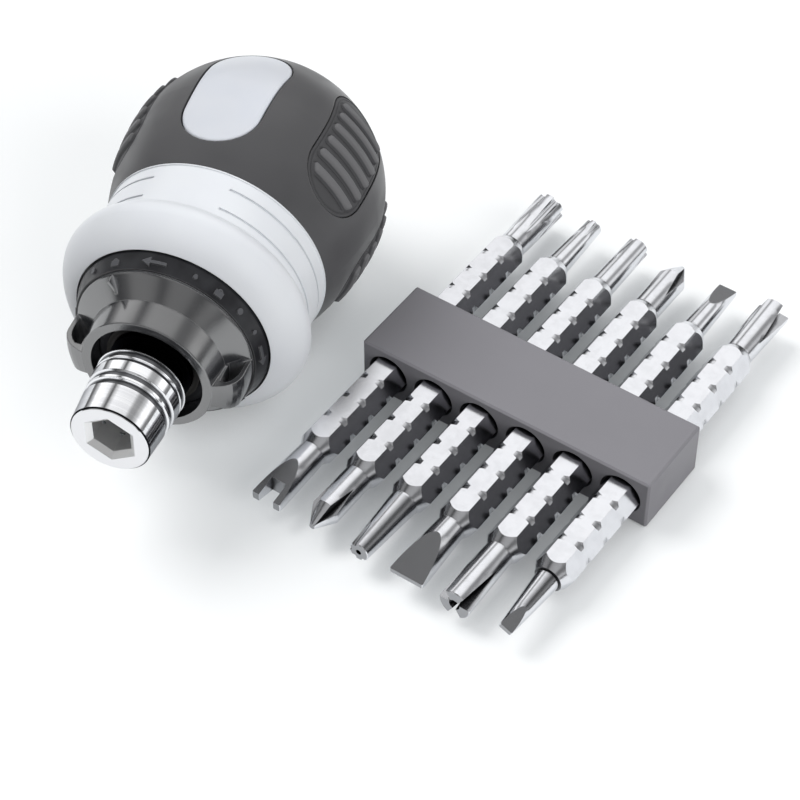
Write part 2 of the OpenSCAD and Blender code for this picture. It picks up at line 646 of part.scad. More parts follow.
module housing_cover() color("#6d6f73") on_axis() difference() {
    ring(rear_bush_r + seat_gap, chamber_r - seat_gap, cover_s, cover_rear_s);
    pin_hole(seat_gap);
}
module front_bush() color("#b08d4c") on_axis() ring(shank_r + run_gap, front_bush_r, housing_neck_s, chamber_s);
module rear_bush() color("#b08d4c") on_axis() ring(tail_r + run_gap, rear_bush_r, cover_s, cover_rear_s + edge);
module thrust_washer() color("#c9b27a") on_axis()
    ring(shank_r + run_gap, nose_rear_r + edge, shoulder_s + end_gap, shoulder_s + end_gap + washer_t);

circlip_t = 0.8;
circlip_s = cover_rear_s + 2 * edge;
circlip_wall = 1.5;
clip_seat = 0.6;
module spindle_circlip() color("#55575a") on_axis() difference() {
    ring(tail_r - clip_seat + seat_gap, tail_r + circlip_wall, circlip_s, circlip_s + circlip_t);
    translate([0, -tail_r / 2, circlip_s - overrun]) cube([2 * tail_r, tail_r, circlip_t + 2 * overrun]);
}
module selector_snap_ring() color("#9a9ca0") on_axis() sector(click_angle + 15, click_angle + 345)
    translate([selector_bore_r - run_gap / 2, snap_s]) circle(snap_wire_r, $fn = 24);

// The nose's turned outline: bands and grooves as shares of its length
nose_ring_shares = [0.425, 0.445, 0.508, 0.528, 0.563, 0.58, 0.639, 0.659, 0.806, 0.825, 0.853, 0.869, 0.889, 0.905,
                    0.965, 0.978, 1];
nose_groove_shares = [0, 1, 1, 0, 0, 0.8, 0.8, 0, 0, 1, 1, 0.2, 0.2, 1, 1, 0.2, 0.3];
function nose_at(share) = nose_r + (nose_rear_r - nose_r) * share;
shoulder_t = 1.2;
clip_s = 4.6;
clip_wire_r = 0.35;
clip_bite = 0.15;
clip_r = corner(bit_af) + clip_wire_r - clip_bite;
magnet_wall = 0.325;
magnet_r = socket_af / 2 - magnet_wall;
magnet_t = 3.0;
gear_points = [for (i = [0 : teeth - 1]) for (p = [[tooth_tip_r, -2], [tooth_tip_r, 2], [tooth_tip_r - tooth_depth, 5.5],
                                                   [tooth_tip_r - tooth_depth, 9.5]]) pol(p[0], i * 360 / teeth + p[1])];
module drive_spindle() color("#c5c8cb") on_axis() difference() {
    union() {
        rotate_extrude() polygon(concat(
            [[0, 0], [nose_r - edge, 0], [nose_r, edge]],
            [for (i = [0 : len(nose_ring_shares) - 1])
                [nose_at(nose_ring_shares[i]) - groove_depth * nose_groove_shares[i], nose_len * nose_ring_shares[i]]],
            [[relief_r, nose_len], [relief_r, shoulder_s - shoulder_t], [shank_r + edge, shoulder_s - shoulder_t],
             [shank_r + edge, shoulder_s], [shank_r, shoulder_s],
             [shank_r, gear_s - gear_gap / 2], [tail_r, gear_s - gear_gap / 2], [tail_r, tail_end_s - edge],
             [tail_r - edge, tail_end_s], [0, tail_end_s]]));
        translate([0, 0, gear_s]) linear_extrude(gear_len) polygon(gear_points);
        ring(0, tooth_tip_r - tooth_depth, gear_s - gear_gap, gear_s + gear_len + edge);
    }
    // Hexagonal socket, its lead-in, the clip's groove and the magnet's pocket
    rotate(30) translate([0, 0, -overrun]) cylinder(r = corner(socket_af), h = socket_depth + overrun, $fn = 6);
    rotate(30) translate([0, 0, -lead_depth]) cylinder(r1 = 2 * corner(lead_af) - corner(socket_af), r2 = corner(socket_af), h = 2 * lead_depth, $fn = 6);
    rotate_extrude() translate([clip_r, clip_s]) circle(clip_wire_r + seat_gap, $fn = 24);
    ring(0, magnet_r + seat_gap, socket_depth - overrun, socket_depth + magnet_t + seat_gap);
    // Groove of the circlip
    ring(tail_r - clip_seat, tail_r + overrun, circlip_s - seat_gap, circlip_s + circlip_t + seat_gap);
}
module bit_clip() color("#8d8f92") on_axis() sector(30, 330) translate([clip_r, clip_s]) circle(clip_wire_r, $fn = 24);
module socket_magnet() color("#55585c") on_axis()
    ring(0, magnet_r, socket_depth + seat_gap, socket_depth + magnet_t);

// Rack: every edge chamfered, six round holes
module chamfered(w, h) polygon([
    [rack_chamfer, 0], [w - rack_chamfer, 0], [w, rack_chamfer], [w, h - rack_chamfer],
    [w - rack_chamfer, h], [rack_chamfer, h], [0, h - rack_chamfer], [0, rack_chamfer]]);
module at_rack() translate([nose_x + rack_x, nose_y + rack_y, 0]) rotate([0, 0, -rack_turn]) children();
module bit_rack() color("#6f6e73") at_rack() difference() {
    intersection() {
        linear_extrude(rack_h) chamfered(rack_w, rack_d);
        translate([0, rack_d, 0]) rotate([90, 0, 0]) linear_extrude(rack_d) chamfered(rack_w, rack_h);
        rotate([90, 0, 90]) linear_extrude(rack_w) chamfered(rack_d, rack_h);
    }
    for (i = [0 : 5]) translate([rack_end + i * bit_pitch, -overrun, rack_h / 2]) rotate([-90, 0, 0])
        cylinder(r = rack_hole_r, h = rack_d + 2 * overrun);
}

// A bit, drawn along +Z about its middle; children(0) is its front tip and children(1) its rear tip
notch_slope = 0.35;
module bit_hex() difference() {
    intersection() {
        translate([0, 0, -hex_half - hex_cone]) cylinder(r = corner(bit_af), h = 2 * (hex_half + hex_cone), $fn = 6);
        rotate_extrude() polygon([
            [0, -hex_half - hex_cone], [shaft_r, -hex_half - hex_cone], [corner(bit_af), -hex_half],
            [corner(bit_af), hex_half], [shaft_r, hex_half + hex_cone], [0, hex_half + hex_cone]]);
    }
    for (side = [-1, 1], i = [0 : 2]) translate([0, 0, side * (hex_half - notch_end - i * notch_pitch)])
        rotate_extrude() polygon([
            [notch_floor_r, -notch_w / 2], [notch_floor_r, notch_w / 2],
            [corner(bit_af) + edge, notch_w / 2 + notch_slope + edge], [corner(bit_af) + edge, -notch_w / 2 - notch_slope - edge]]);
}
module bit(i) at_rack() translate([rack_end + i * bit_pitch, rack_d / 2 + bit_shift, rack_h / 2]) rotate([-90, 0, 0]) {
    bit_hex();
    translate([0, 0, -hex_half - hex_cone]) rotate([180, 0, 0]) children(0);
    translate([0, 0, hex_half + hex_cone]) children(1);
}
// Turned shaft of a tip, from its hexagon's radius to the radius at its end
module shaft(r_root, r_end, len) rotate_extrude() polygon([
    [0, -edge], [r_root, -edge], [r_root, edge], [r_end, len - edge / 2], [r_end - edge / 2, len], [0, len]]);
// Two ground faces that leave a blade
module ground_faces(r_root, start, half, len) for (m = [0, 1]) mirror([0, m, 0])
    translate([-2 * shaft_r, 0, 0]) rotate([90, 0, 90]) linear_extrude(4 * shaft_r) polygon([
        [r_root, start], [half, len], [half, len + overrun], [2 * shaft_r, len + overrun], [2 * shaft_r, start]]);
// Flutes whose floor runs in from the shaft's side towards the end
module flutes(count, first, r_start, start, r_end, len) for (i = [0 : count - 1])
    rotate(first + i * 360 / count) translate([r_start, 0, start]) rotate([0, -atan((r_start - r_end) / (len - start)), 0])
        translate([0, 0, -len]) linear_extrude(3 * len) children();
module vee(open_angle) polygon([
    [0, 0], pol(3 * shaft_r, open_angle / 2), pol(3 * shaft_r, -open_angle / 2)]);
module fork_tip() difference() {
    shaft(shaft_r, fork_r, tip_len);
    ground_faces(fork_r, tip_len * 0.26, thick_blade_half, tip_len);
    translate([-fork_slot_w / 2, -fork_r, tip_len - fork_slot_depth]) cube([fork_slot_w, 2 * fork_r, fork_slot_depth + overrun]);
}
module cross_tip() difference() {
    intersection() {
        shaft(shaft_r, shaft_r + edge / 3, tip_len);
        rotate_extrude() polygon([
            [0, -edge], [2 * shaft_r, -edge], [2 * shaft_r, tip_len - cross_point_len - (2 * shaft_r - shaft_r) * cross_point_len / (shaft_r - cross_end_r)],
            [cross_end_r, tip_len], [0, tip_len]]);
    }
    flutes(4, 45, shaft_r, tip_len * 0.3, cross_end_r * 1.2, tip_len) vee(84);
}
module blade_tip(r_root, r_end, start_share, half, len) difference() {
    shaft(r_root, r_end, len);
    ground_faces(max(r_root, r_end), len * start_share, half, len);
}
module star_tip(r_root, r_end, start_share, len) difference() {
    shaft(r_root, r_end, len);
    flutes(6, 0, r_root + r_end / 3.6, len * start_share, r_end * (0.74 + 1 / 3.6), len) circle(r_end / 3.6, $fn = 32);
}
module prong_tip(r_end, first, start_share, open_angle) difference() {
    shaft(shaft_r, r_end, tip_len);
    flutes(3, first, shaft_r, tip_len * start_share, prong_hollow_r / 2, tip_len) vee(open_angle);
    translate([0, 0, tip_len * 0.72]) cylinder(r = prong_hollow_r, h = tip_len);
}
module bit_fork_star() color("#a9abae") bit(0) { fork_tip(); star_tip(shaft_r, star_large_r, 0.3, tip_len); }
module bit_cross_star() color("#a9abae") bit(1) { cross_tip(); star_tip(slim_shaft_r, star_small_r, 0.5, tip_len); }
module bit_security_star() color("#a9abae") bit(2) {
    difference() {
        star_tip(shaft_r, star_security_r, 0.38, tip_len);
        translate([0, 0, tip_len * 0.75]) cylinder(r = security_hole_r, h = tip_len);
    }
    star_tip(slim_shaft_r + edge / 2, star_medium_r, 0.5, tip_len);
}
module bit_wide_slotted() color("#a9abae") bit(3) { blade_tip(shaft_r, wide_blade_r, 0.16, thin_blade_half, tip_len); cross_tip(); }
module bit_tri_wing() color("#a9abae") bit(4) {
    prong_tip(fork_r, 30, 0.3, 62);
    blade_tip(slim_shaft_r, small_blade_r, 0.45, thin_blade_half, tip_len);
}
module bit_slim_slotted() color("#a9abae") bit(5) {
    rotate(-25) blade_tip(slim_shaft_r, slim_blade_r, 0.45, thin_blade_half, tip_len * 0.96);
    prong_tip(fork_r, 90, 0.3, 70);
}

handle_shell();
handle_core();
inlay_top();
inlay_bottom();
grip_pad_upper_right();
grip_pad_lower_right();
grip_pad_lower_left();
grip_pad_upper_left();
front_collar();
indicator_ring();
selector_collar();
selector_cam();
selector_snap_ring();
detent_spring();
ratchet_housing();
housing_cover();
front_bush();
rear_bush();
thrust_washer();
spindle_circlip();
drive_spindle();
bit_clip();
socket_magnet();
pawl_left();
pawl_right();
pawl_pin_left();
pawl_pin_right();
pawl_spring_left();
pawl_spring_right();
bit_rack();
bit_fork_star();
bit_cross_star();
bit_security_star();
bit_wide_slotted();
bit_tri_wing();
bit_slim_slotted();
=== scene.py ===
"""Looks of a ball-handled ratcheting screwdriver and its rack of six double-ended bits."""

import functools
import logging
import math
from dataclasses import dataclass, field
from enum import Enum
from typing import Iterator, Mapping, Sequence

import bmesh
import bpy
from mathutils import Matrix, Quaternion, Vector


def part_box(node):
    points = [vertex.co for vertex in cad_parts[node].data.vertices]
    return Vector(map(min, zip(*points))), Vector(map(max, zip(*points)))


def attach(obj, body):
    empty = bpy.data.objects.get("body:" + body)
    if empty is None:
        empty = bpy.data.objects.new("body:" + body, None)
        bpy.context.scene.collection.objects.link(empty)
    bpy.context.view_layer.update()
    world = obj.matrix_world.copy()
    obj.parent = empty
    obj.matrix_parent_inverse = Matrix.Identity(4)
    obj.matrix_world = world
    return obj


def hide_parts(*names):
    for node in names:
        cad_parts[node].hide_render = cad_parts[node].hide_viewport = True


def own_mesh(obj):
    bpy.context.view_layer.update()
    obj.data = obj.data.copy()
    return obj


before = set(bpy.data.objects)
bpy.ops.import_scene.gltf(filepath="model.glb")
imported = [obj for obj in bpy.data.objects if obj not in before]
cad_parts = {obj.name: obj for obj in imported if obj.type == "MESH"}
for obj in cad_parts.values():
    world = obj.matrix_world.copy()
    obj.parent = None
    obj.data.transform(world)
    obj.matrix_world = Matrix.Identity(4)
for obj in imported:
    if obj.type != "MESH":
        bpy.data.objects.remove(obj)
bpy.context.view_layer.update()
MM = 0.001
PER_METRE = 1000.0
LOG = logging.getLogger("screwdriver")

Socket = bpy.types.NodeSocket
Colour = tuple[float, float, float, float]
Point = tuple[float, float, float]
Span = tuple[float, float]

NUMBER = "NodeSocketFloat"
NORMAL = "NodeSocketVector"
SCREEN_TOP = 255
SCREEN_TOE = 0.04045
TOE_SLOPE = 12.92
CURVE_LIFT = 0.055
CURVE_POWER = 2.4
BIT_TURN = math.radians(15.5)


def paint(red: int, green: int, blue: int) -> Colour:
    """Scene colour of a paint chip.

    Args:
        red: Screen value of its red, up to 255.
        green: Screen value of its green.
        blue: Screen value of its blue.

    Returns:
        The colour in linear light.
    """
    def linear(level: int) -> float:
        """Linear light of one screen value."""
        share = level / SCREEN_TOP
        bent = ((share + CURVE_LIFT) / (1 + CURVE_LIFT)) ** CURVE_POWER
        return share / TOE_SLOPE if share <= SCREEN_TOE else bent

    return (linear(red), linear(green), linear(blue), 1.0)


def grey(light: float) -> Colour:
    """Plain grey of a level of linear light."""
    return (light, light, light, 1.0)


@functools.cache
def box_of(node: str) -> tuple[Vector, Vector]:
    """Lowest and highest corner of a CAD node, measured once."""
    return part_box(node)


def add_object(name: str, data: bpy.types.ID) -> bpy.types.Object:
    """Adds an object to the scene.

    Args:
        name: The object's name.
        data: Its mesh, lamp or camera.

    Returns:
        The new object.
    """
    thing = bpy.data.objects.new(name, data)
    bpy.context.scene.collection.objects.link(thing)
    return thing


class NodeBench:
    """Places and joins the nodes of one node tree."""

    mix_colours = (6, 7)
    mix_result = 2

    def __init__(self, tree: bpy.types.NodeTree) -> None:
        """Takes the tree to work on."""
        self.tree = tree

    def feed(self, node: bpy.types.Node, inputs: dict) -> None:
        """Joins a node's sockets to what feeds them, or sets them to plain values.

        Args:
            node: The node.
            inputs: Socket name or place, with the value or the socket that feeds it.
        """
        for key, value in inputs.items():
            if isinstance(value, Socket):
                self.tree.links.new(value, node.inputs[key])
            else:
                node.inputs[key].default_value = value

    def add(self, kind: str, inputs: dict | None = None, **settings: object) -> bpy.types.Node:
        """Adds one node.

        Args:
            kind: Blender's name of the node type.
            inputs: Socket name or place, with the value or the socket that feeds it.
            settings: Properties of the node itself.

        Returns:
            The new node.
        """
        node = self.tree.nodes.new(kind)
        for name, value in settings.items():
            setattr(node, name, value)
        self.feed(node, inputs or {})
        return node

    def effect(self, kind: type, inputs: dict | None = None) -> Mapping[str, Socket]:
        """Places a shared effect.

        Args:
            kind: Class of the effect.
            inputs: This material's own values for it.

        Returns:
            The effect's outputs.
        """
        return self.add("ShaderNodeGroup", inputs, node_tree=effect_tree(kind)).outputs

    def math(self, operation: str, first: object, second: object = 0.0, third: object = 0.0,
             clamp: bool = False) -> Socket:
        """One step of arithmetic.

        Args:
            operation: Blender's name of the operation.
            first: First value or socket.
            second: Second value or socket.
            third: Third value or socket, where the operation has one.
            clamp: Holds the result between 0 and 1.

        Returns:
            The result's socket.
        """
        return self.add("ShaderNodeMath", {0: first, 1: second, 2: third}, operation=operation,
                        use_clamp=clamp).outputs[0]

    def times(self, *factors: object) -> Socket:
        """Product of values and sockets."""
        return functools.reduce(functools.partial(self.math, "MULTIPLY"), factors)

    def over(self, value: Socket, limit: float) -> Socket:
        """One where a value lies over a limit, and zero elsewhere."""
        return self.math("GREATER_THAN", value, limit)

    def under(self, value: Socket, limit: float) -> Socket:
        """One where a value lies under a limit, and zero elsewhere."""
        return self.math("LESS_THAN", value, limit)

    def remap(self, value: object, low: float, high: float, start: object = 0.0,
              end: object = 1.0) -> Socket:
        """Carries a value from one span to another with soft ends.

        Args:
            value: Value or socket to carry over.
            low: Start of the span that is read.
            high: End of the span that is read.
            start: Result at low.
            end: Result at high.

        Returns:
            The result's socket.
        """
        return self.add("ShaderNodeMapRange", {0: value, 1: low, 2: high, 3: start, 4: end},
                        interpolation_type="SMOOTHSTEP").outputs[0]

    def blend(self, share: object, first: object, second: object, way: str = "MIX") -> Socket:
        """Mixes two colours.

        Args:
            share: How much of the second colour shows.
            first: First colour or socket.
            second: Second colour or socket.
            way: Blender's name of the blending mode.

        Returns:
            The mixed colour's socket.
        """
        one, other = self.mix_colours
        return self.add("ShaderNodeMix", {0: share, one: first, other: second},
                        data_type="RGBA", blend_type=way).outputs[self.mix_result]

    def open_sky(self, reach: float, samples: int) -> Socket:
        """How openly each place lies, judged by what stands within a reach of it."""
        return self.add("ShaderNodeAmbientOcclusion", {"Distance": reach},
                        samples=samples).outputs["AO"]


@dataclass(frozen=True)
class DriverAxis:
    """Where the driver lies: its axis runs level from the nose face towards +Y.

    A place on it is a radius from the axis, an angle that turns from +X to +Z, and a distance
    behind the nose face.
    """

    ball_swell: float = 3.0 * MM

    @property
    def nose(self) -> Vector:
        """Middle of the nose face."""
        low, high = box_of("drive_spindle")
        return Vector(((low.x + high.x) / 2, low.y, (low.z + high.z) / 2))

    @property
    def ball_r(self) -> float:
        """Largest radius of the handle."""
        low, high = box_of("handle_shell")
        return (high.x - low.x) / 2

    @property
    def ball_s(self) -> float:
        """Place of the handle's largest radius, where its round end begins."""
        return box_of("handle_shell")[1].y - self.ball_r - self.nose.y

    @property
    def lip_s(self) -> float:
        """Place of the handle's front edge."""
        return box_of("handle_shell")[0].y - self.nose.y

    def ball_at(self, along: float) -> float:
        """Radius of the handle's surface.

        Args:
            along: Distance behind the nose face.

        Returns:
            The radius there.
        """
        reach = self.ball_s - self.lip_s
        if along < self.ball_s:
            arc = (reach ** 2 + self.ball_swell ** 2) / (2 * self.ball_swell)
            return self.ball_r - arc + math.sqrt(arc ** 2 - (along - self.ball_s) ** 2)
        return math.sqrt(max(0.0, self.ball_r ** 2 - (along - self.ball_s) ** 2))

    def point(self, radius: float, angle: float, along: float) -> Point:
        """Point of the frame.

        Args:
            radius: Distance from the axis.
            angle: Turn round the axis, in radians.
            along: Distance behind the nose face.

        Returns:
            The point's place.
        """
        nose = self.nose
        return (nose.x + radius * math.cos(angle), nose.y + along,
                nose.z + radius * math.sin(angle))


@functools.cache
def effect_tree(kind: type) -> bpy.types.NodeTree:
    """Node group of a shared effect, built the first time a finish asks for it."""
    return kind().tree


class Effect:
    """Base of a shared shader effect, which is built once and placed in many materials."""

    title: str = ""
    takes: dict[str, float] = {}
    gives: dict[str, str] = {}

    def __init__(self) -> None:
        """Makes the group's tree and its named sockets, then fills it."""
        self.tree = bpy.data.node_groups.new(self.title, "ShaderNodeTree")
        new_socket = self.tree.interface.new_socket
        for name, value in self.takes.items():
            new_socket(name=name, in_out="INPUT", socket_type=NUMBER).default_value = value
        for name, kind in self.gives.items():
            new_socket(name=name, in_out="OUTPUT", socket_type=kind)
        self.bench = NodeBench(self.tree)
        self.inlet = self.bench.add("NodeGroupInput").outputs
        self.outlet = self.bench.add("NodeGroupOutput")
        self.build()

    def build(self) -> None:
        """Fills the tree; each effect has its own."""
        raise NotImplementedError

    def place(self) -> Socket:
        """Position on the object at rest, in metres."""
        return self.bench.add("ShaderNodeTexCoord").outputs["Object"]

    def scale(self, size: str) -> Socket:
        """Scale of a noise from the input that gives its size in millimetres."""
        return self.bench.math("DIVIDE", PER_METRE, self.inlet[size])


class MouldedGrain(Effect):
    """Fine spark-eroded grain of a plastic moulding, with slow changes of gloss from handling."""

    title = "moulded_grain"
    takes = {"Grain size": 0.2, "Smudge size": 9.0}
    gives = {"Height": NUMBER, "Smudge": NUMBER}
    smudge_span: Span = (0.25, 0.75)

    def build(self) -> None:
        """Fine noise for the grain and slow noise for the smudges."""
        bench = self.bench
        place = self.place()
        grain, smudge = (bench.add("ShaderNodeTexNoise", {
            "Vector": place, "Scale": self.scale(size), "Detail": 2.0}).outputs[0]
            for size in self.takes)
        bench.feed(self.outlet, {"Height": grain,
                                 "Smudge": bench.remap(smudge, *self.smudge_span)})


class RoundedEdge(Effect):
    """Normal of an edge with a small radius in millimetres, and a mask of where that edge is."""

    title = "rounded_edge"
    takes = {"Radius": 0.2}
    gives = {"Normal": NORMAL, "Edge": NUMBER}
    samples = 6
    edge_span: Span = (0.995, 0.86)

    def build(self) -> None:
        """Compares the rounded normal with the plain one."""
        bench = self.bench
        bevel = bench.add("ShaderNodeBevel", {"Radius": bench.times(self.inlet["Radius"], MM)},
                          samples=self.samples).outputs[0]
        plain = bench.add("ShaderNodeNewGeometry").outputs["Normal"]
        likeness = bench.add("ShaderNodeVectorMath", {0: bevel, 1: plain},
                             operation="DOT_PRODUCT").outputs["Value"]
        bench.feed(self.outlet, {"Normal": bevel,
                                 "Edge": bench.remap(likeness, *self.edge_span)})


class AxisPlace(Effect):
    """Distance from the driver's axis and along it, both in millimetres."""

    title = "axis_place"
    gives = {"Radius": NUMBER, "Along": NUMBER}

    def build(self) -> None:
        """Measures from the middle of the nose face."""
        bench = self.bench
        shifted = bench.add("ShaderNodeVectorMath", {0: self.place(), 1: DriverAxis().nose},
                            operation="SUBTRACT").outputs[0]
        parts = bench.add("ShaderNodeSeparateXYZ", {0: shifted}).outputs
        square = bench.math("MULTIPLY_ADD", parts[0], parts[0], bench.times(parts[2], parts[2]))
        bench.feed(self.outlet, {
            "Radius": bench.math("DIVIDE", bench.math("SQRT", square), MM),
            "Along": bench.math("DIVIDE", parts[1], MM)})


class TurnedLines(Effect):
    """Lathe lines round the driver's axis, on its cylinders and on its faces."""

    title = "turned_lines"
    takes = {"Line pitch": 0.12}
    gives = {"Height": NUMBER, "Streak": NUMBER}
    streak_scale = 0.13
    streak_span: Span = (0.35, 0.7)

    def build(self) -> None:
        """Noise in the distance along the axis and out from it, so every line is a full ring."""
        bench = self.bench
        axis = bench.effect(AxisPlace)
        scale = bench.math("DIVIDE", 1.0, self.inlet["Line pitch"])
        ring = bench.add("ShaderNodeCombineXYZ", {0: bench.times(axis["Along"], scale),
                                                  1: bench.times(axis["Radius"], scale)})
        fine, broad = (bench.add("ShaderNodeTexNoise", {
            "Vector": ring.outputs[0], "Scale": size, "Detail": detail},
            noise_dimensions="2D").outputs[0]
            for size, detail in ((1.0, 3.0), (self.streak_scale, 2.0)))
        bench.feed(self.outlet, {"Height": fine,
                                 "Streak": bench.remap(broad, *self.streak_span)})


class DrawnLines(Effect):
    """Fine lines that drawing and plating leave along the hexagon of a bit."""

    title = "drawn_lines"
    takes = {"Line pitch": 0.15, "Turn": 0.0}
    gives = {"Height": NUMBER, "Cloud": NUMBER, "End": NUMBER}
    stretch: Point = (1.0, 0.02, 1.0)
    cloud_scale = 420.0
    cloud_span: Span = (0.36, 0.68)
    end_span: Span = (0.955, 0.985)

    def turned(self, vector: Socket) -> Socket:
        """Vector seen along the bits, whose turn on the floor is given in radians."""
        return self.bench.add("ShaderNodeVectorRotate", {
            "Vector": vector, "Angle": self.inlet["Turn"]}, rotation_type="Z_AXIS").outputs[0]

    def build(self) -> None:
        """Noise stretched along the bits, cloudy noise, and a mask of faces across the bits."""
        bench = self.bench
        place = self.turned(self.place())
        drawn = bench.add("ShaderNodeVectorMath", {0: place, 1: self.stretch},
                          operation="MULTIPLY").outputs[0]
        lines = bench.add("ShaderNodeTexNoise", {
            "Vector": drawn, "Scale": self.scale("Line pitch"), "Detail": 2.0}).outputs[0]
        cloud = bench.add("ShaderNodeTexNoise", {
            "Vector": place, "Scale": self.cloud_scale, "Detail": 5.0,
            "Roughness": 0.65}).outputs[0]
        faced = self.turned(bench.add("ShaderNodeNewGeometry").outputs["True Normal"])
        parts = bench.add("ShaderNodeSeparateXYZ", {0: faced}).outputs
        endwise = bench.math("ABSOLUTE", parts[1])
        bench.feed(self.outlet, {"Height": lines,
                                 "Cloud": bench.remap(cloud, *self.cloud_span),
                                 "End": bench.remap(endwise, *self.end_span)})


@dataclass(frozen=True)
class SurfaceFinish:
    """Base of the finishes: two close shades, drifting gloss, fine relief and rounded edges.

    Its own values are those of bright metal, and sizes are in millimetres.
    """

    title: str
    colour: Colour
    shade: Colour
    roughness: float = 0.2
    roughness_swing: float = 0.08
    depth: float = 0.004
    strength: float = 0.5
    edge_radius: float = 0.08

    def make(self) -> bpy.types.Material:
        """Builds the material.

        Returns:
            The finished material.
        """
        material = bpy.data.materials.new(self.title)
        material.use_nodes = True
        bench = NodeBench(material.node_tree)
        shader = material.node_tree.nodes["Principled BSDF"]
        edge = bench.effect(RoundedEdge, {"Radius": self.edge_radius})
        colour, rough, height = self.surface(bench, edge["Edge"])
        bump = bench.add("ShaderNodeBump", {"Strength": self.strength,
                                            "Distance": self.depth * MM,
                                            "Height": height, "Normal": edge["Normal"]})
        bench.feed(shader, {"Base Color": colour, "Roughness": rough, "Normal": bump.outputs[0]})
        bench.feed(shader, self.constants())
        return material

    def surface(self, bench: NodeBench, edge: Socket) -> tuple[Socket, Socket, Socket]:
        """Colour, roughness and relief; each kind of finish has its own."""
        raise NotImplementedError

    def constants(self) -> dict[str, object]:
        """What is the same all over, for the shader's own sockets."""
        return {"Metallic": 1.0}


@dataclass(frozen=True)
class MouldedFinish(SurfaceFinish):
    """Moulded plastic or rubber with fine grain, rounded edges with a painted highlight, and
    handling marks.
    """

    roughness: float = 0.45
    strength: float = 0.6
    edge_radius: float = 0.15
    grain_size: float = 0.25
    edge_highlight_share: float = 0.12
    edge_highlight_gain: float = 1.6
    edge_highlight_lift: float = 0.05
    smudge_size: float = 9.0
    coat: float = 0.0
    coat_roughness: float = 0.2
    specular: float = 0.5
    sheen: float = 0.0
    density: float = 1.5

    def surface(self, bench: NodeBench, edge: Socket) -> tuple[Socket, Socket, Socket]:
        """Mottles the moulding and paints a pale highlight along its rounded edges.

        Args:
            bench: The material's nodes.
            edge: Mask of the rounded edges.

        Returns:
            The colour, the roughness and the relief.
        """
        grain = bench.effect(MouldedGrain, {"Grain size": self.grain_size,
                                            "Smudge size": self.smudge_size})
        mottled = bench.blend(grain["Smudge"], self.colour, self.shade)
        # Painted highlight: the rounded edges are painted paler, as if they caught the light.
        edge_highlight = [min(1.0, part * self.edge_highlight_gain + self.edge_highlight_lift) for part in self.colour[:3]]
        painted = bench.blend(bench.times(edge, self.edge_highlight_share), self.marked(bench, mottled),
                              (*edge_highlight, 1.0))
        rough = bench.remap(grain["Smudge"], 0.0, 1.0, self.roughness - self.roughness_swing,
                            self.roughness + self.roughness_swing)
        return painted, rough, grain["Height"]

    def constants(self) -> dict[str, object]:
        """What is the same all over, for the shader's own sockets."""
        return {"Specular IOR Level": self.specular, "Coat Weight": self.coat,
                "Coat Roughness": self.coat_roughness, "Sheen Weight": self.sheen,
                "IOR": self.density}

    def marked(self, bench: NodeBench, colour: Socket) -> Socket:
        """Colour with the piece's own markings; a plain moulding has none."""
        return colour


@dataclass(frozen=True)
class CollarFinish(MouldedFinish):
    """White moulding whose turned lines carry painted shade, a grey in their grooves."""

    line_floor: float = 19.35
    line_depth: float = 0.1
    groove_shade_share: float = 0.5
    groove_shade: Colour = paint(196, 199, 204)
    flange_end: float = 33.0
    inner_r: float = 18.6

    def marked(self, bench: NodeBench, colour: Socket) -> Socket:
        """Paints shade, a grey, on what lies below the neck's surface behind the flange.

        Args:
            bench: The material's nodes.
            colour: The plain colour.

        Returns:
            The colour with its lines.
        """
        axis = bench.effect(AxisPlace)
        low = bench.remap(axis["Radius"], self.line_floor + self.line_depth, self.line_floor)
        behind = bench.over(axis["Along"], self.flange_end)
        outside = bench.over(axis["Radius"], self.inner_r)
        # Painted shade in the grooves of the turned lines.
        share = bench.times(low, behind, outside, self.groove_shade_share)
        return bench.blend(share, colour, self.groove_shade)


@dataclass(frozen=True)
class RingFinish(MouldedFinish):
    """Black moulding whose raised marks are painted paler than the sloping ground."""

    ground_front: float = 22.4
    ground_r: float = 15.7
    slope: float = 0.3455
    mark_span: Span = (0.08, 0.2)
    mark_share: float = 0.8
    mark_pale: Colour = paint(84, 85, 89)

    def marked(self, bench: NodeBench, colour: Socket) -> Socket:
        """Pales what stands over the ring's slope.

        Args:
            bench: The material's nodes.
            colour: The plain colour.

        Returns:
            The colour with its paler raised marks.
        """
        axis = bench.effect(AxisPlace)
        behind = bench.math("SUBTRACT", axis["Along"], self.ground_front)
        ground = bench.math("MULTIPLY_ADD", behind, self.slope, self.ground_r)
        proud = bench.math("SUBTRACT", axis["Radius"], ground)
        share = bench.remap(proud, *self.mark_span, 0.0, self.mark_share)
        return bench.blend(share, colour, self.mark_pale)


@dataclass(frozen=True)
class SelectorFinish(MouldedFinish):
    """Glossy grey moulding whose finger pockets are painted paler, painted light that lifts the
    shade in them.
    """

    pocket_from_r: float = 11.6
    pocket_reach: float = 2.5 * MM
    pocket_span: Span = (0.8, 0.3)
    pocket_samples: int = 8
    pocket_light: Colour = paint(150, 151, 154)

    def marked(self, bench: NodeBench, colour: Socket) -> Socket:
        """Paints light, a paler grey, into the deep places outside the bore.

        Args:
            bench: The material's nodes.
            colour: The plain colour.

        Returns:
            The colour with painted light in its pockets.
        """
        outside = bench.over(bench.effect(AxisPlace)["Radius"], self.pocket_from_r)
        open_sky = bench.open_sky(self.pocket_reach, self.pocket_samples)
        deep = bench.remap(open_sky, *self.pocket_span)
        # Painted light: the less open a pocket is, the paler it is painted.
        return bench.blend(bench.times(deep, outside), colour, self.pocket_light)


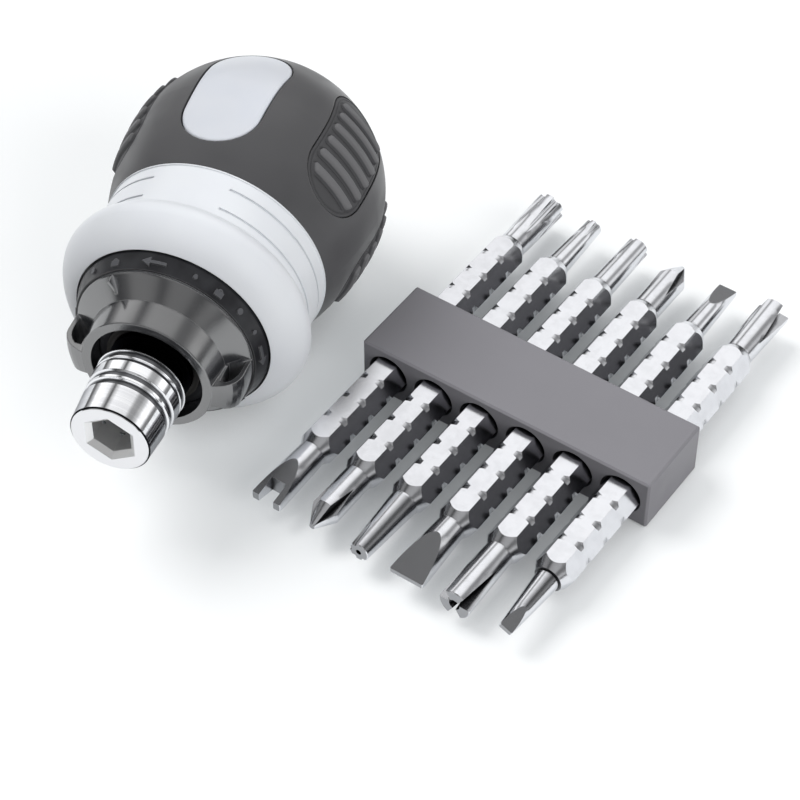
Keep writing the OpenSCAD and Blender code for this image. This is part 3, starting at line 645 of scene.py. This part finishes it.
@dataclass(frozen=True)
class PadFinish(MouldedFinish):
    """Soft grip moulding with painted shade in its hollows and a painted highlight on its ridges.
    """

    # Painted shade of the hollows round the ribs.
    hollow: Colour = paint(26, 26, 28)
    hollow_shade_span: Span = (0.5, 0.1)
    hollow_shade_share: float = 0.85
    # Painted highlight on the rib tops.
    ridge_highlight: Colour = paint(120, 120, 122)
    ridge_highlight_span: Span = (0.72, 1.0)
    ridge_highlight_share: float = 0.6

    def marked(self, bench: NodeBench, colour: Socket) -> Socket:
        """Reads the depth that the pad's mesh carries, to paint shade in the hollows and a
        highlight on the ridges.

        Args:
            bench: The material's nodes.
            colour: The plain colour.

        Returns:
            The colour with painted shade in its hollows and a painted highlight on its ridges.
        """
        relief = bench.add("ShaderNodeAttribute", attribute_name="relief").outputs["Fac"]
        deep = bench.times(bench.remap(relief, *self.hollow_shade_span), self.hollow_shade_share)
        high = bench.times(bench.remap(relief, *self.ridge_highlight_span), self.ridge_highlight_share)
        return bench.blend(high, bench.blend(deep, colour, self.hollow), self.ridge_highlight)


@dataclass(frozen=True)
class TurnedMetalFinish(SurfaceFinish):
    """Metal turned on a lathe about the driver's axis."""

    pitch: float = 0.12
    grazing: Colour = paint(170, 170, 172)

    def surface(self, bench: NodeBench, edge: Socket) -> tuple[Socket, Socket, Socket]:
        """Streaks the metal round the axis.

        Args:
            bench: The material's nodes.
            edge: Mask of the rounded edges, which turned metal doesn't colour.

        Returns:
            The colour, the roughness and the relief.
        """
        lines = bench.effect(TurnedLines, {"Line pitch": self.pitch})
        plain = bench.blend(lines["Streak"], self.colour, self.shade)
        rough = bench.remap(lines["Streak"], 0.0, 1.0, self.roughness,
                            self.roughness + self.roughness_swing)
        return (*self.zoned(bench, plain, rough), lines["Height"])

    def constants(self) -> dict[str, object]:
        """What is the same all over, for the shader's own sockets."""
        return super().constants() | {"Specular Tint": self.grazing}

    def zoned(self, bench: NodeBench, colour: Socket, rough: Socket) -> tuple[Socket, Socket]:
        """Colour and roughness by zone; a plain turned piece has one zone."""
        return colour, rough


@dataclass(frozen=True)
class Zone:
    """Colour and roughness of one zone of a piece."""

    colour: Colour
    roughness: float


@dataclass(frozen=True)
class SpindleFinish(TurnedMetalFinish):
    """Polished nose with a ground face, a black neck, painted shade on the face edge and the
    groove floors, and painted light in the bore.
    """

    nose_len: float = 12.6
    nose_r: float = 6.8
    taper: float = 0.95 / 12.6
    rim_depth: float = 0.36
    face_r: float = 6.6
    face_depth: float = 0.03
    bore_r: float = 4.7
    bore_from: float = 0.04
    neck_fade: Span = (0.12, 0.02)
    groove_span: Span = (0.2, 0.42)
    groove_from: float = 1.0
    # Painted shade on the groove floors and along the face edge, and painted light inside the
    # bore.
    groove: Zone = Zone(paint(120, 121, 124), 0.3)
    rim_shade: Zone = Zone(paint(34, 34, 37), 0.5)
    face: Zone = Zone(paint(236, 236, 238), 0.32)
    neck: Zone = Zone(paint(22, 22, 24), 0.45)
    bore: Zone = Zone(paint(248, 248, 248), 0.5)

    def zoned(self, bench: NodeBench, colour: Socket, rough: Socket) -> tuple[Socket, Socket]:
        """Paints the zones by their place along the axis and out from it.

        Args:
            bench: The material's nodes.
            colour: The nose's plain colour.
            rough: The nose's plain roughness.

        Returns:
            The colour and the roughness of the whole spindle.
        """
        axis = bench.effect(AxisPlace)
        along = axis["Along"]
        radius = axis["Radius"]
        rim_shade = bench.times(bench.under(along, self.rim_depth), bench.over(radius, self.face_r))
        face = bench.times(bench.under(along, self.face_depth), bench.under(radius, self.face_r))
        inside = bench.times(bench.under(radius, self.bore_r), bench.over(along, self.bore_from))
        neck = bench.remap(along, *(self.nose_len - fade for fade in self.neck_fade))
        skin = bench.math("MULTIPLY_ADD", along, self.taper, self.nose_r)
        sunk = bench.remap(bench.math("SUBTRACT", skin, radius), *self.groove_span)
        groove = bench.times(sunk, bench.over(along, self.groove_from))
        for share, zone in ((groove, self.groove), (rim_shade, self.rim_shade), (face, self.face),
                            (neck, self.neck), (inside, self.bore)):
            colour = bench.blend(share, colour, zone.colour)
            rough = bench.remap(share, 0.0, 1.0, rough, zone.roughness)
        return colour, rough


@dataclass(frozen=True)
class PlatedFinish(SurfaceFinish):
    """Bright plated steel of the bits, with drawn lines and a faint cloudy bloom.

    The bits stand so close that each mirrors its neighbour's flank; seen in those reflections
    the plating is painted darker, a painted shade.
    """

    roughness_swing: float = 0.02
    depth: float = 0.001
    strength: float = 0.3
    edge_radius: float = 0.04
    turn: float = BIT_TURN
    pitch: float = 0.12
    mirror_shade: Colour = paint(94, 94, 97)
    end: Colour = paint(158, 159, 162)
    end_roughness: float = 0.4
    crevice_shade: Colour = paint(70, 71, 72)
    crevice_shade_reach: float = 0.9 * MM
    crevice_shade_span: Span = (0.97, 0.6)
    crevice_shade_samples: int = 6

    def surface(self, bench: NodeBench, edge: Socket) -> tuple[Socket, Socket, Socket]:
        """Clouds the plating, dulls the end faces and paints shade into the corners.

        Args:
            bench: The material's nodes.
            edge: Mask of the rounded edges, which plating doesn't colour.

        Returns:
            The colour, the roughness and the relief.
        """
        lines = bench.effect(DrawnLines, {"Line pitch": self.pitch, "Turn": self.turn})
        # Painted shade in reflections: seen by a glossy ray, the plating turns darker.
        mirror_shade = bench.add("ShaderNodeLightPath").outputs["Is Glossy Ray"]
        plain = bench.blend(lines["Cloud"], self.colour, self.shade)
        ground = bench.blend(lines["End"], plain, self.end)
        # Painted shade in the corners and hollows, the darker the more closely they are hemmed
        # in.
        open_sky = bench.open_sky(self.crevice_shade_reach, self.crevice_shade_samples)
        crevice_shaded = bench.blend(bench.remap(open_sky, *self.crevice_shade_span), ground, self.crevice_shade)
        rough = bench.remap(lines["Cloud"], 0.0, 1.0, self.roughness,
                            self.roughness + self.roughness_swing)
        return (bench.blend(mirror_shade, crevice_shaded, self.mirror_shade),
                bench.remap(lines["End"], 0.0, 1.0, rough, self.end_roughness),
                lines["Height"])


class Finish(Enum):
    """The finishes, named as the record's material slots."""

    BALL = "ball_plastic"
    CORE = "core_plastic"
    INLAY = "inlay"
    PAD = "pad_rubber"
    WHITE = "white_plastic"
    RING = "ring_plastic"
    SELECTOR = "selector_plastic"
    CAM = "cam_plastic"
    SPRING = "spring_steel"
    HOUSING = "housing_metal"
    BUSH = "bush_sintered"
    SPINDLE = "spindle_chrome"
    MAGNET = "magnet"
    PAWL = "pawl_steel"
    RACK = "rack_plastic"
    BIT = "bit_chrome"


class Palette:
    """Recipes of all finishes."""

    recipes: dict[Finish, SurfaceFinish] = {
        Finish.BALL: MouldedFinish(
            "ball_grey_plastic", paint(70, 70, 72), paint(74, 74, 76),
            roughness=0.46, sheen=0.12, edge_radius=0.3),
        Finish.CORE: MouldedFinish(
            "core_black_plastic", paint(34, 34, 36), paint(38, 38, 40)),
        Finish.INLAY: MouldedFinish(
            "inlay_pearl", paint(202, 206, 214), paint(208, 211, 217),
            roughness=0.34, roughness_swing=0.02, coat=0.12, edge_highlight_share=0.0),
        Finish.PAD: PadFinish(
            "pad_soft_rubber", paint(68, 68, 70), paint(72, 72, 74),
            roughness=0.6, specular=0.4, edge_highlight_share=0.0, grain_size=0.18),
        Finish.WHITE: CollarFinish(
            "collar_white_plastic", paint(220, 223, 228), paint(223, 226, 230),
            roughness=0.34, roughness_swing=0.02),
        Finish.RING: RingFinish(
            "ring_black_plastic", paint(30, 30, 33), paint(44, 45, 48),
            roughness=0.42, edge_radius=0.12, edge_highlight_share=0.8, edge_highlight_lift=0.12, smudge_size=4.0),
        Finish.SELECTOR: SelectorFinish(
            "selector_grey_plastic", paint(43, 44, 47), paint(47, 48, 51),
            roughness=0.18, roughness_swing=0.03, specular=1.0, density=1.95,
            edge_radius=0.22, edge_highlight_share=0.9, edge_highlight_lift=0.2, depth=0.002),
        Finish.CAM: MouldedFinish(
            "cam_natural_nylon", paint(206, 202, 190), paint(214, 210, 200)),
        Finish.SPRING: TurnedMetalFinish(
            "spring_steel_wire", paint(168, 170, 174), paint(150, 152, 156), roughness=0.25),
        Finish.HOUSING: TurnedMetalFinish(
            "housing_blackened_casting", paint(60, 60, 63), paint(50, 50, 53), roughness=0.5),
        Finish.BUSH: TurnedMetalFinish(
            "bush_sintered_iron", paint(56, 55, 54), paint(48, 47, 46), roughness=0.5),
        Finish.SPINDLE: SpindleFinish(
            "spindle_polished_steel", paint(238, 239, 241), paint(228, 229, 232),
            roughness=0.07, roughness_swing=0.04),
        Finish.MAGNET: TurnedMetalFinish(
            "magnet_nickel", paint(214, 213, 212), paint(206, 205, 204), roughness=0.45),
        Finish.PAWL: TurnedMetalFinish(
            "pawl_hardened_steel", paint(128, 129, 132), paint(110, 111, 115), roughness=0.35),
        Finish.RACK: MouldedFinish(
            "rack_grey_plastic", paint(130, 129, 134), paint(133, 132, 137),
            roughness=0.5, specular=0.3, edge_radius=0.2),
        Finish.BIT: PlatedFinish(
            "bit_bright_plate", paint(224, 225, 229), paint(219, 220, 224)),
    }

    @classmethod
    @functools.cache
    def get(cls, finish: Finish) -> bpy.types.Material:
        """Material of a finish, made the first time a piece asks for it."""
        return cls.recipes[finish].make()


@dataclass
class SubAssembly:
    """Base of the driver's and the rack's sub-assemblies: dresses the CAD nodes that it holds."""

    nodes: tuple[str, ...] = ()

    def build(self) -> None:
        """Gives each node the finish of its slot in the record."""
        for name in self.nodes:
            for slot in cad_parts[name].material_slots:
                finish = Finish(slot.material.name.split(".")[0])
                slot.material = Palette.get(finish)
            LOG.info("%s dressed", name)


def fit_piece(name: str, mesh: bpy.types.Mesh, node: str, finish: Finish) -> bpy.types.Object:
    """Puts a new piece in the place of one of the handle's nodes.

    Args:
        name: The piece's name.
        mesh: Its mesh.
        node: CAD node that it stands for.
        finish: Its finish.

    Returns:
        The new piece.
    """
    mesh.polygons.foreach_set("use_smooth", [True] * len(mesh.polygons))
    mesh.materials.append(Palette.get(finish))
    mesh.update()
    piece = add_object(name, mesh)
    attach(piece, "handle")
    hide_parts(node)
    LOG.info("%s made, %d points", name, len(mesh.vertices))
    return piece


@dataclass
class WindowPiece:
    """A moulded piece that fills one rounded window of the handle."""

    node: str
    angle: float
    axis: DriverAxis
    finish: Finish
    front_r: float
    rear_r: float
    start: float
    length: float
    gap: float = 0.15 * MM
    end_gap: float = 0.01 * MM
    least_half: float = 0.02 * MM
    depth: float = 2.6 * MM
    edge_round: float = 0.45 * MM
    ground: float = 0.0
    level_shade: float = 0.5
    rows: int = 150
    columns: int = 48

    @property
    def front_s(self) -> float:
        """Place of the window's front end."""
        return self.axis.lip_s + self.start

    @property
    def centres(self) -> Span:
        """Places of the middles of the window's front and rear circle."""
        return self.front_s + self.front_r, self.front_s + self.length - self.rear_r

    def half_width(self, along: float) -> float:
        """Half the window's width.

        Args:
            along: Distance behind the nose face.

        Returns:
            The half width there, up to the window's edge.
        """
        front, rear = self.centres
        lean = (self.front_r - self.rear_r) / (rear - front)
        turn_front = front + self.front_r * lean
        turn_rear = rear + self.rear_r * lean
        if along < turn_front:
            return math.sqrt(max(0.0, self.front_r ** 2 - (along - front) ** 2))
        if along > turn_rear:
            return math.sqrt(max(0.0, self.rear_r ** 2 - (along - rear) ** 2))
        level = math.sqrt(1 - lean ** 2)
        share = (along - turn_front) / (turn_rear - turn_front)
        return level * (self.front_r + (self.rear_r - self.front_r) * share)

    def inset(self, across: float, along: float) -> float:
        """Distance in from the window's edge.

        Args:
            across: Distance from the window's middle line.
            along: Distance behind the nose face.

        Returns:
            The distance, below zero outside the window.
        """
        front, rear = self.centres
        share = min(1.0, max(0.0, (along - front) / (rear - front)))
        centre = front + (rear - front) * share
        radius = self.front_r + (self.rear_r - self.front_r) * share
        return radius - math.hypot(across, along - centre)

    def relief(self, across: float, along: float, angle: float) -> float:
        """Height of the piece's own detail; a plain inlay has none."""
        return 0.0

    def height(self, across: float, along: float, angle: float) -> float:
        """Height over the handle's own surface.

        Args:
            across: Distance from the window's middle line.
            along: Distance behind the nose face.
            angle: Angle from the window's middle, in radians.

        Returns:
            The height, below zero where the edge rounds over.
        """
        near = max(0.0, self.inset(across, along) - self.gap)
        round_over = 0.0
        if near < self.edge_round:
            short = self.edge_round - near
            round_over = self.edge_round - math.sqrt(self.edge_round ** 2 - short ** 2)
        return self.ground + self.relief(across, along, angle) - round_over

    def stations(self) -> Iterator[tuple[float, float, float]]:
        """Stations along the piece, closer together towards its ends.

        Yields:
            Place behind the nose face, half width and radius of the handle's surface there.
        """
        first = self.front_s + self.gap + self.end_gap
        last = self.front_s + self.length - self.gap - self.end_gap
        for row in range(self.rows + 1):
            along = first + (last - first) * (1 - math.cos(math.pi * row / self.rows)) / 2
            half = max(self.least_half, self.half_width(along) - self.gap)
            yield along, half, self.axis.ball_at(along)

    def faces(self) -> list[tuple[int, ...]]:
        """Faces of the top, the underside, the two sides and the two ends.

        Returns:
            The faces, as places in the list of points.
        """
        width = self.columns + 1
        top = (self.rows + 1) * width
        faces = [(row * width + column + 1, row * width + column,
                  (row + 1) * width + column, (row + 1) * width + column + 1)
                 for row in range(self.rows) for column in range(self.columns)]
        for row in range(self.rows):
            here = top + 2 * row
            faces.append((row * width, here, here + 2, (row + 1) * width))
            faces.append((here + 1, row * width + self.columns,
                          (row + 1) * width + self.columns, here + 3))
            faces.append((here, here + 1, here + 3, here + 2))
        for row in (0, self.rows):
            edge = [row * width + column for column in range(width)]
            under = [top + 2 * row + 1, top + 2 * row]
            faces.append(tuple(edge + under) if row == 0 else tuple(reversed(edge + under)))
        return faces

    def build(self) -> None:
        """Makes the closed piece, dresses it and puts it in the node's place."""
        points: list[Point] = []
        shades: list[float] = []
        for along, half, skin in self.stations():
            for column in range(self.columns + 1):
                across = half * math.sin(math.pi * (column / self.columns - 0.5))
                turn = math.asin(across / skin)
                height = self.height(across, along, turn)
                points.append(self.axis.point(skin + height, self.angle + turn, along))
                shades.append(self.level_shade + self.relief(across, along, turn) / MM)
        for along, half, skin in self.stations():
            for across in (-half, half):
                turn = math.asin(across / skin)
                points.append(self.axis.point(skin - self.depth, self.angle + turn, along))
                shades.append(0.0)
        name = self.node + "_form"
        mesh = bpy.data.meshes.new(name)
        mesh.from_pydata(points, [], self.faces())
        mesh.attributes.new("relief", "FLOAT", "POINT").data.foreach_set("value", shades)
        fit_piece(name, mesh, self.node, self.finish)


@dataclass
class Inlay(WindowPiece):
    """A smooth pearly inlay with a rounded edge."""

    finish: Finish = Finish.INLAY
    front_r: float = 7.0 * MM
    rear_r: float = 7.3 * MM
    start: float = 4.5 * MM
    length: float = 25.8 * MM


@dataclass
class GripPad(WindowPiece):
    """A soft pad with a fine border line and cross ribs."""

    finish: Finish = Finish.PAD
    front_r: float = 6.9 * MM
    rear_r: float = 6.8 * MM
    start: float = 5.0 * MM
    length: float = 25.6 * MM
    edge_round: float = 0.15 * MM
    ground: float = -0.1 * MM
    rows: int = 190
    columns: int = 72
    rib_front: float = 4.0 * MM
    rib_rear: float = 5.5 * MM
    rib_count: int = 6
    rib_half_angle: float = math.radians(14.5)
    rib_half: float = 0.82 * MM
    rib_wall: float = 0.34 * MM
    rib_height: float = 0.75 * MM
    rib_inset: float = 1.0 * MM
    rib_fade: float = 0.5 * MM
    hollow: float = 0.22 * MM
    border_inset: float = 0.75 * MM
    border_half: float = 0.22 * MM
    border_depth: float = 0.16 * MM

    def relief(self, across: float, along: float, angle: float) -> float:
        """Height of ribs, of the hollows round them and of the border's groove.

        Args:
            across: Distance from the window's middle line.
            along: Distance behind the nose face.
            angle: Angle from the window's middle, in radians.

        Returns:
            The height over the pad's ground.
        """
        first = self.front_s + self.rib_front
        pitch = (self.length - self.rib_front - self.rib_rear) / (self.rib_count - 1)
        index = min(self.rib_count - 1, max(0, round((along - first) / pitch)))
        skin = self.axis.ball_at(along)
        edge = self.inset(across, along)
        reach = self.rib_half_angle * skin - self.rib_half
        beyond = max(0.0, abs(angle) * skin - reach)
        away = math.hypot(along - first - index * pitch, beyond)
        height = 0.0
        if away < self.rib_half:
            rise = min(1.0, (self.rib_half - away) / self.rib_wall)
            height = self.rib_height * math.sqrt(1 - (1 - rise) ** 2)
        elif away < self.rib_half + self.rib_wall:
            fall = (away - self.rib_half) / self.rib_wall
            height = -self.hollow * math.sin(math.pi * fall)
        fade = min(1.0, max(0.0, (edge - self.rib_inset) / self.rib_fade))
        line = abs(edge - self.border_inset) / self.border_half
        groove = -self.border_depth * (1 + math.cos(math.pi * line)) / 2 if line < 1 else 0.0
        return height * fade + groove


@dataclass
class Ball(SubAssembly):
    """The round handle: grey skin, stiff core, two pearly inlays and four grip pads.

    Each window has its number of steps round the ball, counted from the inlay on top.
    """

    nodes: tuple[str, ...] = ("handle_shell", "handle_core")
    inlay_angle: float = math.radians(96)
    window_step: float = math.radians(60)
    windows: tuple[tuple[type, str, int], ...] = (
        (Inlay, "inlay_top", 0), (Inlay, "inlay_bottom", 3),
        (GripPad, "grip_pad_upper_right", 1), (GripPad, "grip_pad_lower_right", 2),
        (GripPad, "grip_pad_lower_left", 4), (GripPad, "grip_pad_upper_left", 5))
    axis: DriverAxis = field(default_factory=DriverAxis)

    def build(self) -> None:
        """Dresses skin and core, then fills the six windows."""
        super().build()
        for kind, node, step in self.windows:
            kind(node, self.inlay_angle - step * self.window_step, self.axis).build()


@dataclass
class FrontCollar(SubAssembly):
    """The white collar with its flange, and the dark ring of marks inside it."""

    nodes: tuple[str, ...] = ("front_collar", "indicator_ring")


@dataclass
class Selector(SubAssembly):
    """The direction selector with its cam, its snap ring and its click spring."""

    nodes: tuple[str, ...] = ("selector_collar", "selector_cam", "selector_snap_ring",
                              "detent_spring")


@dataclass
class CoilSpring:
    """A small wire spring that stands on a pawl's back and shortens as the pawl lifts."""

    side: str
    axis: DriverAxis
    inner_end: float = 9.05 * MM
    outer_end: float = 13.5 * MM
    coil_r: float = 0.74 * MM
    wire_r: float = 0.12 * MM
    turns: float = 7.0
    flat_turns: float = 1.0
    shortest: float = 0.78
    steps: int = 24
    corners: int = 8

    def rise(self, turn: float) -> float:
        """Share of the spring's length at a turn.

        Args:
            turn: Turns wound so far.

        Returns:
            The share, which hardly grows in the flat end turns.
        """
        share = (turn - self.flat_turns) / (self.turns - 2 * self.flat_turns)
        closed = 2 * self.wire_r / (self.outer_end - self.inner_end)
        if share < 0.0:
            return closed * turn / self.flat_turns
        if share > 1.0:
            return 1 - closed * (self.turns - turn) / self.flat_turns
        return closed + (1 - 2 * closed) * share

    def build(self) -> None:
        """Sweeps the wire along its coil, dresses it and gives it a mesh of its own."""
        node = "pawl_spring_" + self.side
        low, high = box_of(node)
        middle = (low + high) / 2
        nose = self.axis.nose
        out = Vector((middle.x - nose.x, 0.0, middle.z - nose.z)).normalized()
        along = Vector((0.0, 1.0, 0.0))
        across = out.cross(along)
        foot = Vector((nose.x, middle.y, nose.z))
        reach = self.outer_end - self.inner_end - 2 * self.wire_r
        slants = [math.tau * corner / self.corners for corner in range(self.corners)]
        shape = bmesh.new()
        rings = []
        for index in range(round(self.turns * self.steps) + 1):
            turn = index / self.steps
            level = self.inner_end + self.wire_r + reach * self.rise(turn)
            wide = along * math.cos(math.tau * turn) + across * math.sin(math.tau * turn)
            centre = foot + out * level + wide * self.coil_r
            rings.append([shape.verts.new(
                centre + (wide * math.cos(slant) + out * math.sin(slant)) * self.wire_r)
                for slant in slants])
        for first, second in zip(rings, rings[1:]):
            for corner in range(self.corners):
                after = (corner + 1) % self.corners
                shape.faces.new((first[corner], first[after], second[after], second[corner]))
        for end in (rings[0], rings[-1]):
            shape.faces.new(end)
        bmesh.ops.recalc_face_normals(shape, faces=shape.faces[:])
        name = node + "_coil"
        mesh = bpy.data.meshes.new(name)
        shape.to_mesh(mesh)
        shape.free()
        piece = fit_piece(name, mesh, node, Finish.SPRING)
        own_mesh(piece)


@dataclass
class Mechanism(SubAssembly):
    """The ratchet inside: housing, cover, bushes, washer, pawls with their pins and springs."""

    nodes: tuple[str, ...] = ("ratchet_housing", "housing_cover", "front_bush", "rear_bush",
                              "thrust_washer", "pawl_left", "pawl_right", "pawl_pin_left",
                              "pawl_pin_right")
    axis: DriverAxis = field(default_factory=DriverAxis)

    def build(self) -> None:
        """Dresses the nodes, then winds the two pawl springs."""
        super().build()
        for side in ("left", "right"):
            CoilSpring(side, self.axis).build()


@dataclass
class Spindle(SubAssembly):
    """The drive spindle with its bit clip, its magnet and its retaining clip."""

    nodes: tuple[str, ...] = ("drive_spindle", "bit_clip", "socket_magnet", "spindle_circlip")


@dataclass
class Rack(SubAssembly):
    """The block that holds the bits."""

    nodes: tuple[str, ...] = ("bit_rack",)


@dataclass
class BitSet(SubAssembly):
    """The six double-ended bits."""

    nodes: tuple[str, ...] = ("bit_fork_star", "bit_cross_star", "bit_security_star",
                              "bit_wide_slotted", "bit_tri_wing", "bit_slim_slotted")


@dataclass(frozen=True)
class Lamp:
    """A broad soft lamp: its strength, how broad it looks in degrees, and where it stands."""

    name: str
    level: float
    spread: float
    towards: Point

    def build(self) -> None:
        """Places the lamp, which gloss doesn't mirror."""
        data = bpy.data.lights.new(self.name, "SUN")
        data.energy = self.level
        data.angle = math.radians(self.spread)
        lamp = add_object(self.name, data)
        lamp.visible_glossy = False
        lamp.rotation_euler = Vector(self.towards).to_track_quat("Z", "Y").to_euler()


@dataclass
class Studio:
    """Floor, backdrop light, lamps and camera.

    The backdrop's bands give the light level at each angle round the driver's axis, in degrees
    from straight up, and its depths give a factor for each place from front to back.
    """

    azimuth: float = math.radians(19.343)
    elevation: float = math.radians(47.496)
    roll: float = math.radians(0.199)
    distance: float = 447.1 * MM
    aim_from_nose: Span = (33.036 * MM, 42.726 * MM)
    focal_pixels: float = 2631.0
    frame_pixels: float = 800.0
    sensor: float = 36.0
    clip: Span = (0.01, 20.0)
    floor_half: float = 3.0
    floor_lighting: float = 0.18
    floor_seen: float = 0.65
    floor_glow: float = 0.35
    glow: Colour = (0.92, 0.97, 1.0, 1.0)
    # Reach, span, share and samples of the painted contact shadow on the floor.
    contact_shade_reach: float = 9 * MM
    contact_shade_span: Span = (0.1, 0.75)
    contact_shade_share: float = 0.3
    contact_shade_samples: int = 8
    sky_level: float = 0.92
    lamps: tuple[Lamp, ...] = (Lamp("key_lamp", 2.05, 34.0, (-0.6, 0.166, 0.78)),
                               Lamp("fill_lamp", 2.1, 50.0, (0.8, -0.46, 0.39)))
    bands: tuple[Span, ...] = (
        (-180, 0.2), (-127, 0.15), (-95, 0.16), (-85, 0.18), (-76, 0.6), (-68, 1.5), (-56, 1.5),
        (-42, 1.3), (-36, 0.6), (-30, 0.12), (-23, 0.9), (-16, 1.4), (2, 1.35), (24, 1.3),
        (36, 0.5), (45, 0.45), (54, 0.75), (64, 1.6), (74, 1.6), (83, 0.3), (91, 0.2),
        (127, 0.15), (180, 0.2))
    depths: tuple[Span, ...] = (
        (-1.0, 0.4), (-0.5, 0.38), (-0.3, 0.3), (-0.1, 0.2), (0.3, 0.14), (0.4, 0.5),
        (0.5, 1.0), (0.76, 1.0), (0.88, 0.2), (1.0, 0.15))

    def build(self) -> None:
        """Sets up the whole studio."""
        self.floor()
        self.sky()
        for lamp in self.lamps:
            lamp.build()
        self.camera()
        bpy.context.scene.view_settings.view_transform = "Standard"
        LOG.info("studio set")

    def camera(self) -> None:
        """Long lens from the front right, looking down on the driver's nose."""
        data = bpy.data.cameras.new("studio_camera")
        data.sensor_width = self.sensor
        data.lens = self.focal_pixels / self.frame_pixels * self.sensor
        data.clip_start, data.clip_end = self.clip
        camera = add_object("studio_camera", data)
        level = math.cos(self.elevation)
        away = Vector((math.sin(self.azimuth) * level, -math.cos(self.azimuth) * level,
                       math.sin(self.elevation)))
        nose = DriverAxis().nose
        aim = Vector((nose.x + self.aim_from_nose[0], nose.y + self.aim_from_nose[1], 0.0))
        camera.location = aim + away * self.distance
        turn = away.to_track_quat("Z", "Y") @ Quaternion((0.0, 0.0, 1.0), self.roll)
        camera.rotation_euler = turn.to_euler()
        bpy.context.scene.camera = camera

    def floor(self) -> None:
        """A pale floor that keeps the soft shadow; its glow dims close round the objects, a
        painted contact shadow.
        """
        half = self.floor_half
        mesh = bpy.data.meshes.new("studio_floor")
        mesh.from_pydata([(-half, -half, 0), (half, -half, 0), (half, half, 0), (-half, half, 0)],
                         [], [(0, 1, 2, 3)])
        floor = add_object("studio_floor", mesh)
        material = bpy.data.materials.new("floor_white")
        material.use_nodes = True
        material.node_tree.nodes.clear()
        bench = NodeBench(material.node_tree)
        path = bench.add("ShaderNodeLightPath").outputs
        seen = bench.math("ADD", path["Is Camera Ray"], path["Is Glossy Ray"])
        seen = bench.math("ADD", seen, path["Is Transmission Ray"], clamp=True)
        # Painted contact shadow: the floor's glow dims where objects stand close round it.
        open_sky = bench.open_sky(self.contact_shade_reach, self.contact_shade_samples)
        shaded_glow = bench.remap(open_sky, *self.contact_shade_span, self.floor_glow * self.contact_shade_share,
                           self.floor_glow)
        glow = bench.add("ShaderNodeEmission", {"Color": self.glow,
                                                "Strength": bench.times(seen, shaded_glow)})
        tint = bench.blend(seen, grey(self.floor_lighting), grey(self.floor_seen))
        matt = bench.add("ShaderNodeBsdfDiffuse", {"Color": tint})
        both = bench.add("ShaderNodeAddShader", {0: glow.outputs[0], 1: matt.outputs[0]})
        bench.add("ShaderNodeOutputMaterial", {0: both.outputs[0]})
        mesh.materials.append(material)

    def sky(self) -> None:
        """Soft bands of light and shade round the driver's axis, and plain white behind."""
        world = bpy.data.worlds.new("studio_light")
        bpy.context.scene.world = world
        world.use_nodes = True
        world.node_tree.nodes.clear()
        bench = NodeBench(world.node_tree)
        aim = bench.add("ShaderNodeTexCoord").outputs["Generated"]
        parts = bench.add("ShaderNodeSeparateXYZ", {0: aim}).outputs
        turn = bench.math("DEGREES", bench.math("ARCTAN2", parts[0], parts[2]))
        bands = self.ramp(bench, turn, self.bands)
        depth = self.ramp(bench, parts[1], self.depths)
        shade = bench.blend(1.0, bands, depth, "MULTIPLY")
        path = bench.add("ShaderNodeLightPath").outputs["Is Camera Ray"]
        colour = bench.blend(path, shade, grey(1.0))
        light = bench.add("ShaderNodeBackground", {0: colour, 1: self.sky_level})
        bench.add("ShaderNodeOutputWorld", {0: light.outputs[0]})

    def ramp(self, bench: NodeBench, value: Socket, stops: Sequence[Span]) -> Socket:
        """Soft run of light levels.

        Args:
            bench: The world's nodes.
            value: What the stops are read against.
            stops: Values from the lowest to the highest, with the level at each.

        Returns:
            The level's colour socket.
        """
        low = stops[0][0]
        span = stops[-1][0] - low
        place = bench.math("MULTIPLY_ADD", value, 1 / span, -low / span)
        ramp = bench.add("ShaderNodeValToRGB", {0: place})
        ramp.color_ramp.interpolation = "EASE"
        elements = ramp.color_ramp.elements
        while len(elements) < len(stops):
            elements.new(0.5)
        for element, (where, level) in zip(elements, stops):
            element.position = (where - low) / span
            element.color = grey(level)
        return ramp.outputs[0]


def main() -> None:
    """Builds the studio, then every sub-assembly in order."""
    logging.basicConfig(level=logging.INFO, format="%(name)s: %(message)s")
    Studio().build()
    for assembly in (Ball(), FrontCollar(), Selector(), Mechanism(), Spindle(), Rack(), BitSet()):
        assembly.build()
        LOG.info("%s done", type(assembly).__name__)


if __name__ == "__main__":
    main()
